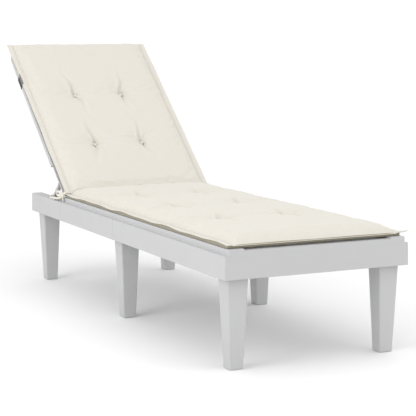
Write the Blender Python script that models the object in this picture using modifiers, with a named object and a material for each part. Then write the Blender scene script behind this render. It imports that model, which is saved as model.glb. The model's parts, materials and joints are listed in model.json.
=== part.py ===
"""Reclining sun lounger: a moulded slatted base in two halves on six legs,
a hinged backrest on a notched prop, and a buttoned pad in two sections.

Frame: +Z up, ground at z = 0, +X to the right of someone lying on it with the
feet towards -Y. The origin lies on the ground at the middle of the whole length.
The pieces are laid out from the joint of the base's halves and moved to the origin
at the end.
Run with: blender --background --python part.py
"""
import math

import bmesh
import bpy
from mathutils import Matrix, Vector

# ---- Driving dimensions, in metres -------------------------------------------------
# Base
BASE_LENGTH = 1.570          # foot end to head end of the base
BASE_WIDTH = 0.550           # over the apron's top edge
APRON_BOTTOM_Z = 0.243       # ground to the apron's lower edge
APRON_HEIGHT = 0.062         # apron's lower edge to the ledge round the deck
APRON_DRAFT = 0.0015         # the apron widens by this towards its lower edge
RIM_HEIGHT = 0.017           # ledge to the top of the deck's rim
RIM_SETBACK = 0.011          # apron's face to the rim's face
LEDGE_RISE = 0.0025          # the ledge climbs this much towards the rim
RAIL_CROWN = 0.0006          # flat tops of the side rails above the apron's top edge
RIM_STRIP_WIDTH = 0.044      # rim's face to where the deck drops to its slats
SLAT_DROP = 0.004            # slats lie this far below the rim
RAIL_WIDTH = 0.036           # side rail beside the backrest's opening
MOULDING_WALL = 0.0028       # wall of the base mouldings
MOULDING_BEVEL = 0.0016      # rounded outer edges of the mouldings
HEAD_BEAM_DEPTH = 0.085      # beam across the head end, along the base
HEAD_BEAM_HEIGHT = 0.040     # and its height
SIDE_GROOVE = 0.0012         # witness groove down the apron beside the rim's end

# Deck and backrest slats
SLAT_PITCH = 0.055           # one slat and one slot
SLOT_WIDTH = 0.010
DECK_THICKNESS = 0.0032
DECK_RIB_DEPTH = 0.022       # ribs under the slats, below the deck's underside
RIB_THICKNESS = 0.0022
RIB_SPACING = 0.105          # between the lengthwise ribs

# Legs
LEG_INSET_SIDE = 0.047       # apron's face to a leg's centre
LEG_INSET_END = 0.050        # base's end to a corner leg's centre
LEG_TOP_SIDE = 0.060
LEG_FOOT_SIDE = 0.040
LEG_WALL = 0.0026
LEG_FLOOR = 0.006            # thickness of the closed foot
LEG_EDGE_BEVEL = 0.0035
LEG_PLUG_SIDE = 0.050        # square plug that enters the frame's socket
LEG_PLUG_HEIGHT = 0.034
SOCKET_WALL = 0.003

# Fasteners
SCREW_RADIUS = 0.0022
SCREW_LENGTH = 0.016
SCREW_HEAD_RADIUS = 0.0042
SCREW_HEAD_HEIGHT = 0.0022
SCREW_DROP = 0.018           # screw's axis above the leg's shoulder
BOLT_RADIUS = 0.003
BOLT_SPACING = 0.240         # between the two bolts that join the halves
BOLT_DROP = 0.026            # bolts' axis below the ledge
NUT_ACROSS_CORNERS = 0.0115
NUT_HEIGHT = 0.005

# Backrest
HINGE_Y = 0.470              # hinge line, from the joint of the halves
PANEL_THICKNESS = 0.0164
PANEL_SKIN = 0.0026
PANEL_LENGTH = 0.755         # hinge line to the top edge
PANEL_BORDER = 0.044
PANEL_CORNER_RADIUS = 0.028
BACK_ANGLE = math.radians(39.2)
BARREL_BOSS = 0.030          # length of the solid ends of the hinge barrel
HINGE_PIN_RADIUS = 0.0032
HINGE_PIN_HEAD_RADIUS = 0.0058
HINGE_PIN_HEAD = 0.0020
HINGE_PIN_GRIP = 0.026       # pin inside the barrel
LUG_LENGTH = 0.0105          # lug past the hinge line

# Prop
PROP_REACH = 0.075           # hinge line to prop pin, and prop pin to foot
PROP_ARM_THICKNESS = 0.012
PROP_ARM_WIDTH = 0.0106
PROP_BAR_RADIUS = 0.004
PROP_FOOT_RADIUS = 0.005
PROP_FOOT_LENGTH = 0.010
PROP_PIN_RADIUS = 0.0030
PROP_PIN_HEAD_RADIUS = 0.0048
PROP_PIN_HEAD = 0.0018
PROP_BOSS = 0.020            # boss inside the panel that takes the prop pin
STEEPEST_ANGLE = math.radians(55.0)
RACK_STEPS = (math.radians(14.0), math.radians(27.0), BACK_ANGLE, math.radians(48.0), STEEPEST_ANGLE)
RACK_WIDTH = 0.0105
RACK_NOTCH_DEPTH = 0.0020
RACK_END = 0.008             # rack past its last notch at each end

# Pad
PAD_INSET = 0.014            # base's side to the pad's edge
PAD_THICKNESS = 0.028
PAD_EDGE_RADIUS = 0.008
SEAT_PAD_FOOT_INSET = 0.016  # foot end of the base to the pad
PAD_FOLD_GAP = 0.030         # seat section stops this far before the hinge line
BACK_PAD_START = 0.004       # back section starts this far after the hinge line
BACK_PAD_LENGTH = 0.780      # long enough to hang over the top of the backrest
BUTTON_RADIUS = 0.0075
BUTTON_HEIGHT = 0.004
BUTTON_CROWN = 0.6           # share of a button's radius where its dome flattens
SEAT_BUTTON_SPREAD = 0.205   # across the pad, centre to centre
SEAT_BUTTON_ROWS = (-0.415, -0.115, 0.185)
BACK_BUTTON_SPREAD = 0.175
BACK_BUTTON_ROWS = (0.238, 0.494)

# Strap and ties
STRAP_WIDTH = 0.055
STRAP_THICKNESS = 0.0015
STRAP_PLACE = 0.592          # hinge line to the strap's middle, up the backrest
TIE_WIDTH = 0.012
TIE_THICKNESS = 0.0015

# Clearances
JOINT_GAP = 0.0006           # between the two halves of the base
REST_GAP = 0.0003            # between pieces that touch
RUNNING_GAP = 0.0005         # round a turning pin
SIDE_GAP = 0.0010            # beside a swinging piece
BARREL_GAP = 0.0022          # deck's end to the hinge barrel
RACK_CLEARANCE = 0.0003      # prop foot over the tips of the rack

ROUND = 12                   # sides of small round pieces
ARC_STEPS = 6                # steps of a rounded corner or end
PAD_ROUNDING = 3             # steps of the pad's rounded edges

# ---- Derived sizes ------------------------------------------------------------------
HALF_LENGTH = BASE_LENGTH / 2
HALF_WIDTH = BASE_WIDTH / 2
LEDGE_Z = APRON_BOTTOM_Z + APRON_HEIGHT
RAIL_TOP_Z = LEDGE_Z + RAIL_CROWN
DECK_TOP_Z = LEDGE_Z + RIM_HEIGHT
SLAT_TOP_Z = DECK_TOP_Z - SLAT_DROP
DECK_UNDER_Z = SLAT_TOP_Z - DECK_THICKNESS
RIM_X = HALF_WIDTH - RIM_SETBACK
SLAT_X = RIM_X - RIM_STRIP_WIDTH
RAIL_INNER_X = HALF_WIDTH - RAIL_WIDTH
HEAD_BEAM_TOP_Z = APRON_BOTTOM_Z + HEAD_BEAM_HEIGHT
HEAD_BEAM_Y = HALF_LENGTH - HEAD_BEAM_DEPTH
LEG_X = HALF_WIDTH - LEG_INSET_SIDE
LEG_END_Y = HALF_LENGTH - LEG_INSET_END
BARREL_RADIUS = PANEL_THICKNESS / 2
HINGE_Z = RAIL_TOP_Z + REST_GAP + BARREL_RADIUS
DECK_END_Y = HINGE_Y - BARREL_RADIUS - BARREL_GAP
LUG_INNER_X = RIM_X - PROP_ARM_THICKNESS - 2 * SIDE_GAP
PANEL_NARROW_X = LUG_INNER_X - SIDE_GAP
PANEL_RECESS_END = 2 * PROP_REACH + PROP_ARM_WIDTH / 2 + SIDE_GAP + RACK_END
PROP_ARM_X = PANEL_NARROW_X + 1.5 * SIDE_GAP
RACK_TOP_Z = HINGE_Z - PROP_FOOT_RADIUS - RACK_CLEARANCE
LID_START = math.hypot(LUG_LENGTH, DECK_TOP_Z - HINGE_Z) + 1.5 * SIDE_GAP
PAD_WIDTH = BASE_WIDTH - 2 * PAD_INSET
BACK_PAD_END = BACK_PAD_START + BACK_PAD_LENGTH
BACK_PAD_BOTTOM = BARREL_RADIUS + REST_GAP
HEAD_END_Y = HINGE_Y + BACK_PAD_END * math.cos(BACK_ANGLE) - BACK_PAD_BOTTOM * math.sin(BACK_ANGLE)
LENGTH_CENTRE_Y = (HEAD_END_Y - HALF_LENGTH) / 2
TINY = 0.001                 # how far cutters and joined pieces run past a face

PLASTIC = ("moulded_polypropylene", (0.74, 0.74, 0.76), 0.42, 0.0)
FABRIC = ("pad_fabric", (0.80, 0.76, 0.70), 0.90, 0.0)
ELASTIC = ("woven_elastic", (0.02, 0.02, 0.02), 0.80, 0.0)
STEEL = ("zinc_plated_steel", (0.60, 0.60, 0.60), 0.35, 1.0)


# ---- Scene and mesh helpers ---------------------------------------------------------
def clear_scene():
    for obj in list(bpy.data.objects):
        bpy.data.objects.remove(obj, do_unlink=True)


def new_collection(name):
    collection = bpy.data.collections.new(name)
    bpy.context.scene.collection.children.link(collection)
    return collection


def material(look):
    name, colour, roughness, metallic = look
    found = bpy.data.materials.get(name)
    if found:
        return found
    made = bpy.data.materials.new(name)
    made.use_nodes = True
    shader = made.node_tree.nodes["Principled BSDF"]
    shader.inputs["Base Color"].default_value = (*colour, 1.0)
    shader.inputs["Roughness"].default_value = roughness
    shader.inputs["Metallic"].default_value = metallic
    return made


def mesh_object(name, bm, collection, look=None, parent=None):
    """Finish a bmesh as an object, with its faces pointing out."""
    bmesh.ops.recalc_face_normals(bm, faces=bm.faces)
    mesh = bpy.data.meshes.new(name)
    bm.to_mesh(mesh)
    bm.free()
    obj = bpy.data.objects.new(name, mesh)
    collection.objects.link(obj)
    obj.parent = parent
    if look:
        mesh.materials.append(material(look))
    return obj


def add_box(bm, low, high):
    low, high = Vector(low), Vector(high)
    place = Matrix.Translation((low + high) / 2) @ Matrix.Diagonal((*(high - low), 1.0))
    bmesh.ops.create_cube(bm, size=1.0, matrix=place)


def boxes(name, corners, collection, look=None, parent=None):
    bm = bmesh.new()
    for low, high in corners:
        add_box(bm, low, high)
    return mesh_object(name, bm, collection, look, parent)


def smooth(obj, angle=35):
    """Shade obj smooth, with a sharp edge wherever its faces meet at more than angle."""
    obj.data.shade_smooth()
    obj.data.set_sharp_from_angle(angle=math.radians(angle))
    return obj


AXIS_TURN = {
    "X": Matrix.Rotation(math.radians(90), 4, "Y"),
    "Y": Matrix.Rotation(math.radians(-90), 4, "X"),
    "Z": Matrix.Identity(4),
}


def add_rod(bm, start, axis, length, radius, sides=ROUND):
    """A closed cylinder from start, along +axis, or -axis where length is negative."""
    middle = Vector(start) + AXIS_TURN[axis] @ Vector((0, 0, length / 2))
    bmesh.ops.create_cone(
        bm, cap_ends=True, segments=sides, radius1=radius, radius2=radius,
        depth=abs(length), matrix=Matrix.Translation(middle) @ AXIS_TURN[axis],
    )


def rods(name, pieces, collection, look=None, parent=None):
    bm = bmesh.new()
    for start, axis, length, radius in pieces:
        add_rod(bm, start, axis, length, radius)
    return smooth(mesh_object(name, bm, collection, look, parent))


def outline_solid(name, points, depth, turn, collection, look=None, parent=None):
    """A closed outline, extruded by depth about its own plane, as a mesh."""
    curve = bpy.data.curves.new(name, "CURVE")
    curve.dimensions = "2D"
    curve.fill_mode = "BOTH"
    curve.extrude = depth / 2
    spline = curve.splines.new("POLY")
    spline.points.add(len(points) - 1)
    for place, (u, v) in zip(spline.points, points):
        place.co = (u, v, 0, 1)
    spline.use_cyclic_u = True
    guide = bpy.data.objects.new(name + "_outline", curve)
    collection.objects.link(guide)
    evaluated = guide.evaluated_get(bpy.context.evaluated_depsgraph_get())
    flat = bpy.data.meshes.new_from_object(evaluated)
    bm = bmesh.new()
    bm.from_mesh(flat)
    bmesh.ops.remove_doubles(bm, verts=bm.verts, dist=0.00001)
    bmesh.ops.dissolve_limit(bm, angle_limit=math.radians(1), verts=bm.verts, edges=bm.edges)
    bmesh.ops.transform(bm, matrix=turn, verts=bm.verts)
    bpy.data.objects.remove(guide, do_unlink=True)
    bpy.data.meshes.remove(flat)
    return smooth(mesh_object(name, bm, collection, look, parent))


def bevel(obj, width, segments=2, angle=40):
    modifier = obj.modifiers.new("edges", "BEVEL")
    modifier.width = width
    modifier.segments = segments
    modifier.limit_method = "ANGLE"
    modifier.angle_limit = math.radians(angle)
    modifier.use_clamp_overlap = True


def boolean(obj, tool, operation):
    """Cut obj by tool, or join tool to it; the tool stays hidden in its collection."""
    tool.hide_render = True
    tool.display_type = "WIRE"
    modifier = obj.modifiers.new(operation.lower() + "_" + tool.name, "BOOLEAN")
    modifier.operation = operation
    modifier.object = tool
    modifier.solver = "EXACT"


def cut(obj, tool):
    boolean(obj, tool, "DIFFERENCE")


def join(obj, tool):
    boolean(obj, tool, "UNION")




def both_sides():
    return (("left", -1), ("right", 1))


def span(side, near, far):
    """Low and high x of a stretch from near to far on one side of the middle."""
    return min(side * near, side * far), max(side * near, side * far)


# ---- Base mouldings -----------------------------------------------------------------
def apron_profile():
    """Half outline of the base across its width, from the lower edge to the rim."""
    return [
        (HALF_WIDTH + APRON_DRAFT, APRON_BOTTOM_Z),
        (HALF_WIDTH, LEDGE_Z),
        (RIM_X, LEDGE_Z + LEDGE_RISE),
        (RIM_X, DECK_TOP_Z),
    ]


def frame_body(name, profile, start_y, end_y, collection, look=None):
    """A bar with the given half outline on both sides, from start_y to end_y."""
    points = profile + [(-x, z) for x, z in reversed(profile)]
    turn = Matrix.Translation((0, (start_y + end_y) / 2, 0)) @ Matrix.Rotation(math.radians(90), 4, "X")
    return outline_solid(name, points, end_y - start_y, turn, collection, look)


def slot_boxes(first, last, half_width, low, high):
    """Slots across the deck or backrest at the slat pitch, centred between first and last."""
    count = int((last - first) / SLAT_PITCH)
    start = (first + last) / 2 - (count - 1) * SLAT_PITCH / 2
    rows = [start + i * SLAT_PITCH for i in range(count)]
    return [((-half_width, y - SLOT_WIDTH / 2, low), (half_width, y + SLOT_WIDTH / 2, high)) for y in rows]


def rib_boxes(start_y, end_y, low, high):
    """Lengthwise ribs under the slats, one in the middle and pairs beside it."""
    count = int((SLAT_X - MOULDING_WALL) / RIB_SPACING)
    places = [i * RIB_SPACING for i in range(-count, count + 1)]
    half = RIB_THICKNESS / 2
    return [((x - half, start_y, low), (x + half, end_y, high)) for x in places]


def socket_boxes(centre_y, inner, low, high):
    half = LEG_PLUG_SIDE / 2 + REST_GAP + (0 if inner else SOCKET_WALL)
    return [
        ((side * LEG_X - half, centre_y - half, low), (side * LEG_X + half, centre_y + half, high))
        for side in (-1, 1)
    ]


def seam_socket_boxes(direction, inner, low, high):
    """The half socket over a middle leg that one half of the base carries."""
    half = LEG_PLUG_SIDE / 2 + REST_GAP + (0 if inner else SOCKET_WALL)
    seam_y = 0 if inner else direction * (JOINT_GAP / 2 + TINY)
    near, far = sorted((seam_y, direction * half))
    return [
        ((side * LEG_X - half, near, low), (side * LEG_X + half, far, high))
        for side in (-1, 1)
    ]


def bolt_axis_z():
    return LEDGE_Z - BOLT_DROP


def screw_axis_z():
    return APRON_BOTTOM_Z + SCREW_DROP


def screw_places():
    """Name, side and y of each screw that holds a leg in its socket."""
    quarter = LEG_PLUG_SIDE / 4
    rows = (
        ("foot", -LEG_END_Y), ("middle_front", -quarter), ("middle_rear", quarter), ("head", LEG_END_Y),
    )
    return [(f"{row}_{label}", side, y) for row, y in rows for label, side in both_sides()]


def screw_bores(direction):
    """Bores for the screws in the sockets of one half of the base."""
    wall = SOCKET_WALL + 2 * TINY
    start_x = LEG_X - LEG_PLUG_SIDE / 2 - REST_GAP - SOCKET_WALL - TINY
    return [
        ((side * start_x, y, screw_axis_z()), "X", side * wall, SCREW_RADIUS + REST_GAP)
        for _, side, y in screw_places()
        if y * direction > 0
    ]


def build_half_frame(name, direction, parts, cutters):
    """One moulded half of the base: apron, ledge, rim, slatted deck, ribs and leg sockets.

    direction is -1 for the foot half and 1 for the head half.
    """
    seam_y = direction * JOINT_GAP / 2
    end_y = direction * HALF_LENGTH
    deck_end_y = end_y if direction < 0 else DECK_END_Y
    low_z = APRON_BOTTOM_Z - TINY
    deck_low, deck_high = sorted((seam_y, deck_end_y))
    frame = frame_body(name, apron_profile(), min(seam_y, end_y), max(seam_y, end_y), parts, PLASTIC)
    if direction > 0:
        wide = HALF_WIDTH + TINY
        behind = [((-wide, HINGE_Y + LUG_LENGTH, RAIL_TOP_Z), (wide, HALF_LENGTH + TINY, DECK_TOP_Z + TINY))]
        cut(frame, boxes(name + "_behind_rim", behind, cutters))
    bevel(frame, MOULDING_BEVEL)

    # The deck drops from its rim to the slats, right out at the ends.
    trough_low = deck_low - TINY
    trough_high = deck_high + TINY
    trough = [((-SLAT_X, trough_low, SLAT_TOP_Z), (SLAT_X, trough_high, DECK_TOP_Z + TINY))]
    cut(frame, boxes(name + "_trough", trough, cutters))

    # Hollow underside: the apron's channel, and the deck's deeper one between the rims.
    wall = MOULDING_WALL
    wide = HALF_WIDTH - wall
    under = [((-wide, deck_low + wall, low_z), (wide, deck_high - wall, LEDGE_Z - wall))]
    cut(frame, boxes(name + "_under", under, cutters))
    deck_under = [((wall - RIM_X, deck_low + wall, low_z), (RIM_X - wall, deck_high - wall, DECK_UNDER_Z))]
    cut(frame, boxes(name + "_deck_under", deck_under, cutters))
    slots = slot_boxes(
        deck_low + wall, deck_high - wall, SLAT_X - wall, DECK_UNDER_Z - TINY, SLAT_TOP_Z + TINY,
    )
    cut(frame, boxes(name + "_slots", slots, cutters))

    if direction > 0:
        cut_backrest_well(frame, name, cutters)

    ribs = rib_boxes(deck_low + TINY, deck_high - TINY, DECK_UNDER_Z - DECK_RIB_DEPTH, DECK_UNDER_Z + TINY)
    join(frame, boxes(name + "_ribs", ribs, cutters))

    end_leg_y = direction * LEG_END_Y
    end_top = DECK_UNDER_Z if direction < 0 else HEAD_BEAM_TOP_Z - wall
    end_sockets = socket_boxes(end_leg_y, False, APRON_BOTTOM_Z, end_top + TINY)
    join(frame, boxes(name + "_end_sockets", end_sockets, cutters))
    cut(frame, boxes(name + "_end_plugs", socket_boxes(end_leg_y, True, low_z, end_top), cutters))
    seam_sockets = seam_socket_boxes(direction, False, APRON_BOTTOM_Z, DECK_UNDER_Z + TINY)
    join(frame, boxes(name + "_seam_sockets", seam_sockets, cutters))
    seam_plugs = seam_socket_boxes(direction, True, low_z, DECK_UNDER_Z)
    cut(frame, boxes(name + "_seam_plugs", seam_plugs, cutters))

    bores = screw_bores(direction)
    for side in (-1, 1):
        place = (side * BOLT_SPACING / 2, seam_y - direction * TINY, bolt_axis_z())
        bores.append((place, "Y", direction * (wall + 2 * TINY), BOLT_RADIUS + REST_GAP))
    if direction > 0:
        for side in (-1, 1):
            place = (side * (LUG_INNER_X - TINY), HINGE_Y, HINGE_Z)
            bores.append((place, "X", side * (RIM_X - LUG_INNER_X + 2 * TINY), HINGE_PIN_RADIUS + REST_GAP))
        cut(frame, boxes(name + "_grooves", groove_boxes(), cutters))
    cut(frame, rods(name + "_bores", bores, cutters))
    return frame


def groove_boxes():
    """A fine upright groove in each side of the apron, beside the end of the rim."""
    groove_y = HINGE_Y + LUG_LENGTH
    outer = HALF_WIDTH + APRON_DRAFT + TINY
    found = []
    for side in (-1, 1):
        low_x, high_x = span(side, HALF_WIDTH - SIDE_GROOVE / 2, outer)
        found.append((
            (low_x, groove_y, APRON_BOTTOM_Z - TINY),
            (high_x, groove_y + SIDE_GROOVE, LEDGE_Z + TINY),
        ))
    return found


def cut_backrest_well(frame, name, cutters):
    """The opening between the rails behind the hinge, the beam's step and their hollows."""
    wall = MOULDING_WALL
    low_z = APRON_BOTTOM_Z - TINY
    top_z = LEDGE_Z + TINY
    lug_end = HINGE_Y + LUG_LENGTH + TINY
    bay = [((-LUG_INNER_X, DECK_END_Y, RAIL_TOP_Z), (LUG_INNER_X, lug_end, DECK_TOP_Z + TINY))]
    cut(frame, boxes(name + "_hinge_bay", bay, cutters))
    well = [((-RAIL_INNER_X, DECK_END_Y, low_z), (RAIL_INNER_X, HEAD_BEAM_Y, top_z))]
    cut(frame, boxes(name + "_well", well, cutters))
    step = [((-RAIL_INNER_X, HEAD_BEAM_Y - TINY, HEAD_BEAM_TOP_Z), (RAIL_INNER_X, HALF_LENGTH + TINY, top_z))]
    cut(frame, boxes(name + "_step", step, cutters))
    hollows = []
    for side in (-1, 1):
        low_x, high_x = span(side, RAIL_INNER_X + wall, HALF_WIDTH - wall)
        hollows.append(((low_x, DECK_END_Y, low_z), (high_x, HALF_LENGTH - wall, LEDGE_Z - wall)))
    cut(frame, boxes(name + "_rail_hollows", hollows, cutters))
    beam = [(
        (-RAIL_INNER_X - wall - TINY, HEAD_BEAM_Y + wall, low_z),
        (RAIL_INNER_X + wall + TINY, HALF_LENGTH - wall, HEAD_BEAM_TOP_Z - wall),
    )]
    cut(frame, boxes(name + "_beam_hollow", beam, cutters))


# ---- Legs and their fasteners -------------------------------------------------------
def square_cone(bm, foot_side, top_side, low, high):
    diagonal = math.sqrt(2) / 2
    place = Matrix.Translation((0, 0, (low + high) / 2)) @ Matrix.Rotation(math.radians(45), 4, "Z")
    bmesh.ops.create_cone(
        bm, cap_ends=True, segments=4, radius1=foot_side * diagonal, radius2=top_side * diagonal,
        depth=high - low, matrix=place,
    )


def build_leg(name, x, y, bore_ys, parts, cutters):
    """A tapered square leg, hollow from above, with a plug that enters the socket."""
    shoulder_z = APRON_BOTTOM_Z - REST_GAP
    bm = bmesh.new()
    square_cone(bm, LEG_FOOT_SIDE, LEG_TOP_SIDE, 0, shoulder_z)
    leg = mesh_object(name, bm, parts, PLASTIC)
    bevel(leg, LEG_EDGE_BEVEL)
    half = LEG_PLUG_SIDE / 2
    plug_top = shoulder_z + LEG_PLUG_HEIGHT
    plug = boxes(name + "_plug", [((-half, -half, shoulder_z - TINY), (half, half, plug_top))], cutters)
    join(leg, plug)
    bm = bmesh.new()
    inner_top = LEG_PLUG_SIDE - 2 * LEG_WALL
    square_cone(bm, LEG_FOOT_SIDE - 2 * LEG_WALL, inner_top, LEG_FLOOR, plug_top + TINY)
    hollow = mesh_object(name + "_hollow", bm, cutters)
    cut(leg, hollow)
    side = 1 if x > 0 else -1
    wall = (LEG_PLUG_SIDE - inner_top) / 2 + 2 * TINY
    bores = [
        ((-side * (half + TINY), bore_y - y, screw_axis_z()), "X", side * wall, SCREW_RADIUS + REST_GAP)
        for bore_y in bore_ys
    ]
    bore = rods(name + "_bores", bores, cutters)
    cut(leg, bore)
    for piece in (leg, plug, hollow, bore):
        piece.location = (x, y, 0)
    return leg


def build_legs(parts, cutters):
    quarter = LEG_PLUG_SIDE / 4
    rows = (
        ("foot", -LEG_END_Y, (-LEG_END_Y,)),
        ("middle", 0.0, (-quarter, quarter)),
        ("head", LEG_END_Y, (LEG_END_Y,)),
    )
    for row, y, bore_ys in rows:
        for label, side in both_sides():
            build_leg(f"leg_{row}_{label}", side * LEG_X, y, bore_ys, parts, cutters)


def build_leg_screws(parts):
    """Screws from inside the base through each socket into the leg's plug."""
    seat_x = LEG_X - LEG_PLUG_SIDE / 2 - REST_GAP - SOCKET_WALL - REST_GAP
    for label, side, y in screw_places():
        headed_pin(
            f"leg_screw_{label}", (side * seat_x, y, screw_axis_z()), side,
            SCREW_LENGTH, SCREW_RADIUS, SCREW_HEAD_RADIUS, SCREW_HEAD_HEIGHT, parts, STEEL,
        )


def turned(name, profile, axis_turn, place, collection, look, parent=None):
    """A solid turned about its own axis from a profile of (radius, height) pairs, top first."""
    mesh = bpy.data.meshes.new(name)
    points = [(radius, 0, height) for radius, height in profile]
    mesh.from_pydata(points, [(i, i + 1) for i in range(len(points) - 1)], [])
    mesh.materials.append(material(look))
    obj = bpy.data.objects.new(name, mesh)
    collection.objects.link(obj)
    obj.parent = parent
    obj.matrix_local = Matrix.Translation(place) @ axis_turn
    screw = obj.modifiers.new("turn", "SCREW")
    screw.steps = ROUND
    screw.render_steps = ROUND
    screw.use_merge_vertices = True
    screw.merge_threshold = 0.00001
    screw.use_smooth_shade = True
    return obj


def headed_pin(name, seat, side, length, radius, head_radius, head_height, collection, look, parent=None):
    """A pin along X with a low domed head. seat is where the head's underside rests.

    side is the way its shank points: 1 for +X and -1 for -X.
    """
    rim = head_height / 3
    profile = [
        (0, head_height), (head_radius - rim, head_height), (head_radius, head_height - rim),
        (head_radius, 0), (radius, 0), (radius, -length), (0, -length),
    ]
    turn = Matrix.Rotation(math.radians(-90 * side), 4, "Y")
    return turned(name, profile, turn, seat, collection, look, parent)


def build_half_bolts(parts, cutters):
    """Two bolts with nuts that hold the halves of the base together at the seam."""
    wall_y = JOINT_GAP / 2 + MOULDING_WALL + REST_GAP
    length = 2 * wall_y + NUT_HEIGHT + TINY
    for label, side in both_sides():
        x = side * BOLT_SPACING / 2
        bolt_profile = [
            (0, BOLT_RADIUS), (2 * BOLT_RADIUS, BOLT_RADIUS), (2 * BOLT_RADIUS, 0),
            (BOLT_RADIUS, 0), (BOLT_RADIUS, -length), (0, -length),
        ]
        turn = Matrix.Rotation(math.radians(90), 4, "X")
        turned(f"joint_bolt_{label}", bolt_profile, turn, (x, -wall_y, bolt_axis_z()), parts, STEEL)
        build_nut(f"joint_nut_{label}", x, wall_y, parts, cutters)


def build_nut(name, x, face_y, parts, cutters):
    bm = bmesh.new()
    add_rod(bm, (0, 0, 0), "Y", NUT_HEIGHT, NUT_ACROSS_CORNERS / 2, 6)
    nut = mesh_object(name, bm, parts, STEEL)
    bore = ((0, -TINY, 0), "Y", NUT_HEIGHT + 2 * TINY, BOLT_RADIUS + REST_GAP)
    hole = rods(name + "_hole", [bore], cutters)
    cut(nut, hole)
    for piece in (nut, hole):
        piece.location = (x, face_y + REST_GAP, bolt_axis_z())


# ---- Backrest -----------------------------------------------------------------------
def arc(centre_u, centre_v, radius, first, last, steps):
    """Points along an arc, with its angles in degrees."""
    angles = [math.radians(first + (last - first) * i / steps) for i in range(steps + 1)]
    return [(centre_u + radius * math.cos(a), centre_v + radius * math.sin(a)) for a in angles]


def panel_side_view():
    """Side view of the backrest, with a round nose about the hinge line, as (y, z)."""
    half = PANEL_THICKNESS / 2
    end = PANEL_LENGTH + TINY
    return arc(0, 0, half, 90, 270, ROUND) + [(end, -half), (end, half)]


def panel_front_view():
    """Front view of the backrest, with round top corners."""
    radius = PANEL_CORNER_RADIUS
    start = -BARREL_RADIUS - TINY
    points = [(-RIM_X, start), (RIM_X, start)]
    points += arc(RIM_X - radius, PANEL_LENGTH - radius, radius, 0, 90, ARC_STEPS)
    points += arc(radius - RIM_X, PANEL_LENGTH - radius, radius, 90, 180, ARC_STEPS)
    return points


def recess_side_view():
    """Side view of what is cut away beside the prop: all of it at the lug, then up to the skin."""
    start = -BARREL_RADIUS - 2 * TINY
    low = -BARREL_RADIUS - 2 * TINY
    high = BARREL_RADIUS + 2 * TINY
    skin_low = BARREL_RADIUS - PANEL_SKIN
    return [
        (start, low), (PANEL_RECESS_END, low), (PANEL_RECESS_END, skin_low),
        (LID_START, skin_low), (LID_START, high), (start, high),
    ]


def build_panel(back, parts, cutters):
    """The slatted backrest moulding, open at the rear, with its hinge barrel and prop bosses."""
    half = PANEL_THICKNESS / 2
    skin_low = half - PANEL_SKIN
    wall = MOULDING_WALL
    sideways = Matrix.Rotation(math.radians(90), 4, "Z") @ Matrix.Rotation(math.radians(90), 4, "X")
    width = 2 * (RIM_X + TINY)
    panel = outline_solid("backrest_panel", panel_side_view(), width, sideways, parts, PLASTIC, back)
    front = outline_solid(
        "backrest_front", panel_front_view(), PANEL_THICKNESS + 2 * TINY, Matrix.Identity(4),
        cutters, parent=back,
    )
    boolean(panel, front, "INTERSECT")
    bevel(panel, MOULDING_BEVEL)
    recess_width = RIM_X - PANEL_NARROW_X + 2 * TINY
    for label, side in both_sides():
        turn = Matrix.Translation((side * (PANEL_NARROW_X + recess_width / 2), 0, 0)) @ sideways
        cut(panel, outline_solid(
            f"backrest_recess_{label}", recess_side_view(), recess_width, turn, cutters, parent=back,
        ))

    # Hollow rear side: narrow beside the prop, wide above it.
    narrow = PANEL_NARROW_X - wall
    wide = RIM_X - wall
    inner_start = BARREL_RADIUS + TINY
    corner_start = PANEL_LENGTH - PANEL_CORNER_RADIUS
    hollows = [
        ((-narrow, inner_start, -half - TINY), (narrow, PANEL_RECESS_END + wall + TINY, skin_low)),
        ((-wide, PANEL_RECESS_END + wall, -half - TINY), (wide, corner_start, skin_low)),
    ]
    for number, corners in enumerate(hollows):
        cut(panel, boxes(f"backrest_hollow_{number}", [corners], cutters, parent=back))
    top_x = RIM_X - PANEL_CORNER_RADIUS
    top = [((-top_x, corner_start - TINY, -half - TINY), (top_x, PANEL_LENGTH - wall, skin_low))]
    cut(panel, boxes("backrest_hollow_top", top, cutters, parent=back))
    last_slot = PANEL_LENGTH - PANEL_BORDER / 2
    slots = slot_boxes(PANEL_BORDER, last_slot, SLAT_X - wall, -half - TINY, half + TINY)
    cut(panel, boxes("backrest_slots", slots, cutters, parent=back))

    ribs = rib_boxes(inner_start - TINY, PANEL_LENGTH - wall + TINY, -half + TINY, skin_low + TINY)
    join(panel, boxes("backrest_ribs", ribs, cutters, parent=back))
    bosses = []
    for side in (-1, 1):
        low_x, high_x = span(side, PANEL_NARROW_X - PROP_BOSS, PANEL_NARROW_X - TINY)
        low_corner = (low_x, PROP_REACH - half, -half + TINY)
        bosses.append((low_corner, (high_x, PROP_REACH + half, skin_low + TINY)))
    join(panel, boxes("backrest_bosses", bosses, cutters, parent=back))

    bar_y = 2 * PROP_REACH
    groove = PROP_BAR_RADIUS + RUNNING_GAP
    reach = PANEL_NARROW_X + TINY
    cut(panel, boxes(
        "backrest_bar_groove",
        [((-reach, bar_y - groove - SIDE_GAP, -half - TINY), (reach, bar_y + groove, groove))],
        cutters, parent=back,
    ))
    bores = []
    for side in (-1, 1):
        start_x = side * (PANEL_NARROW_X + TINY)
        bores.append(((start_x, 0, 0), "X", -side * (BARREL_BOSS + TINY), HINGE_PIN_RADIUS + RUNNING_GAP))
        bores.append(((start_x, PROP_REACH, 0), "X", -side * (PROP_BOSS - TINY), PROP_PIN_RADIUS + REST_GAP))
    cut(panel, rods("backrest_bores", bores, cutters, parent=back))
    return panel


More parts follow.
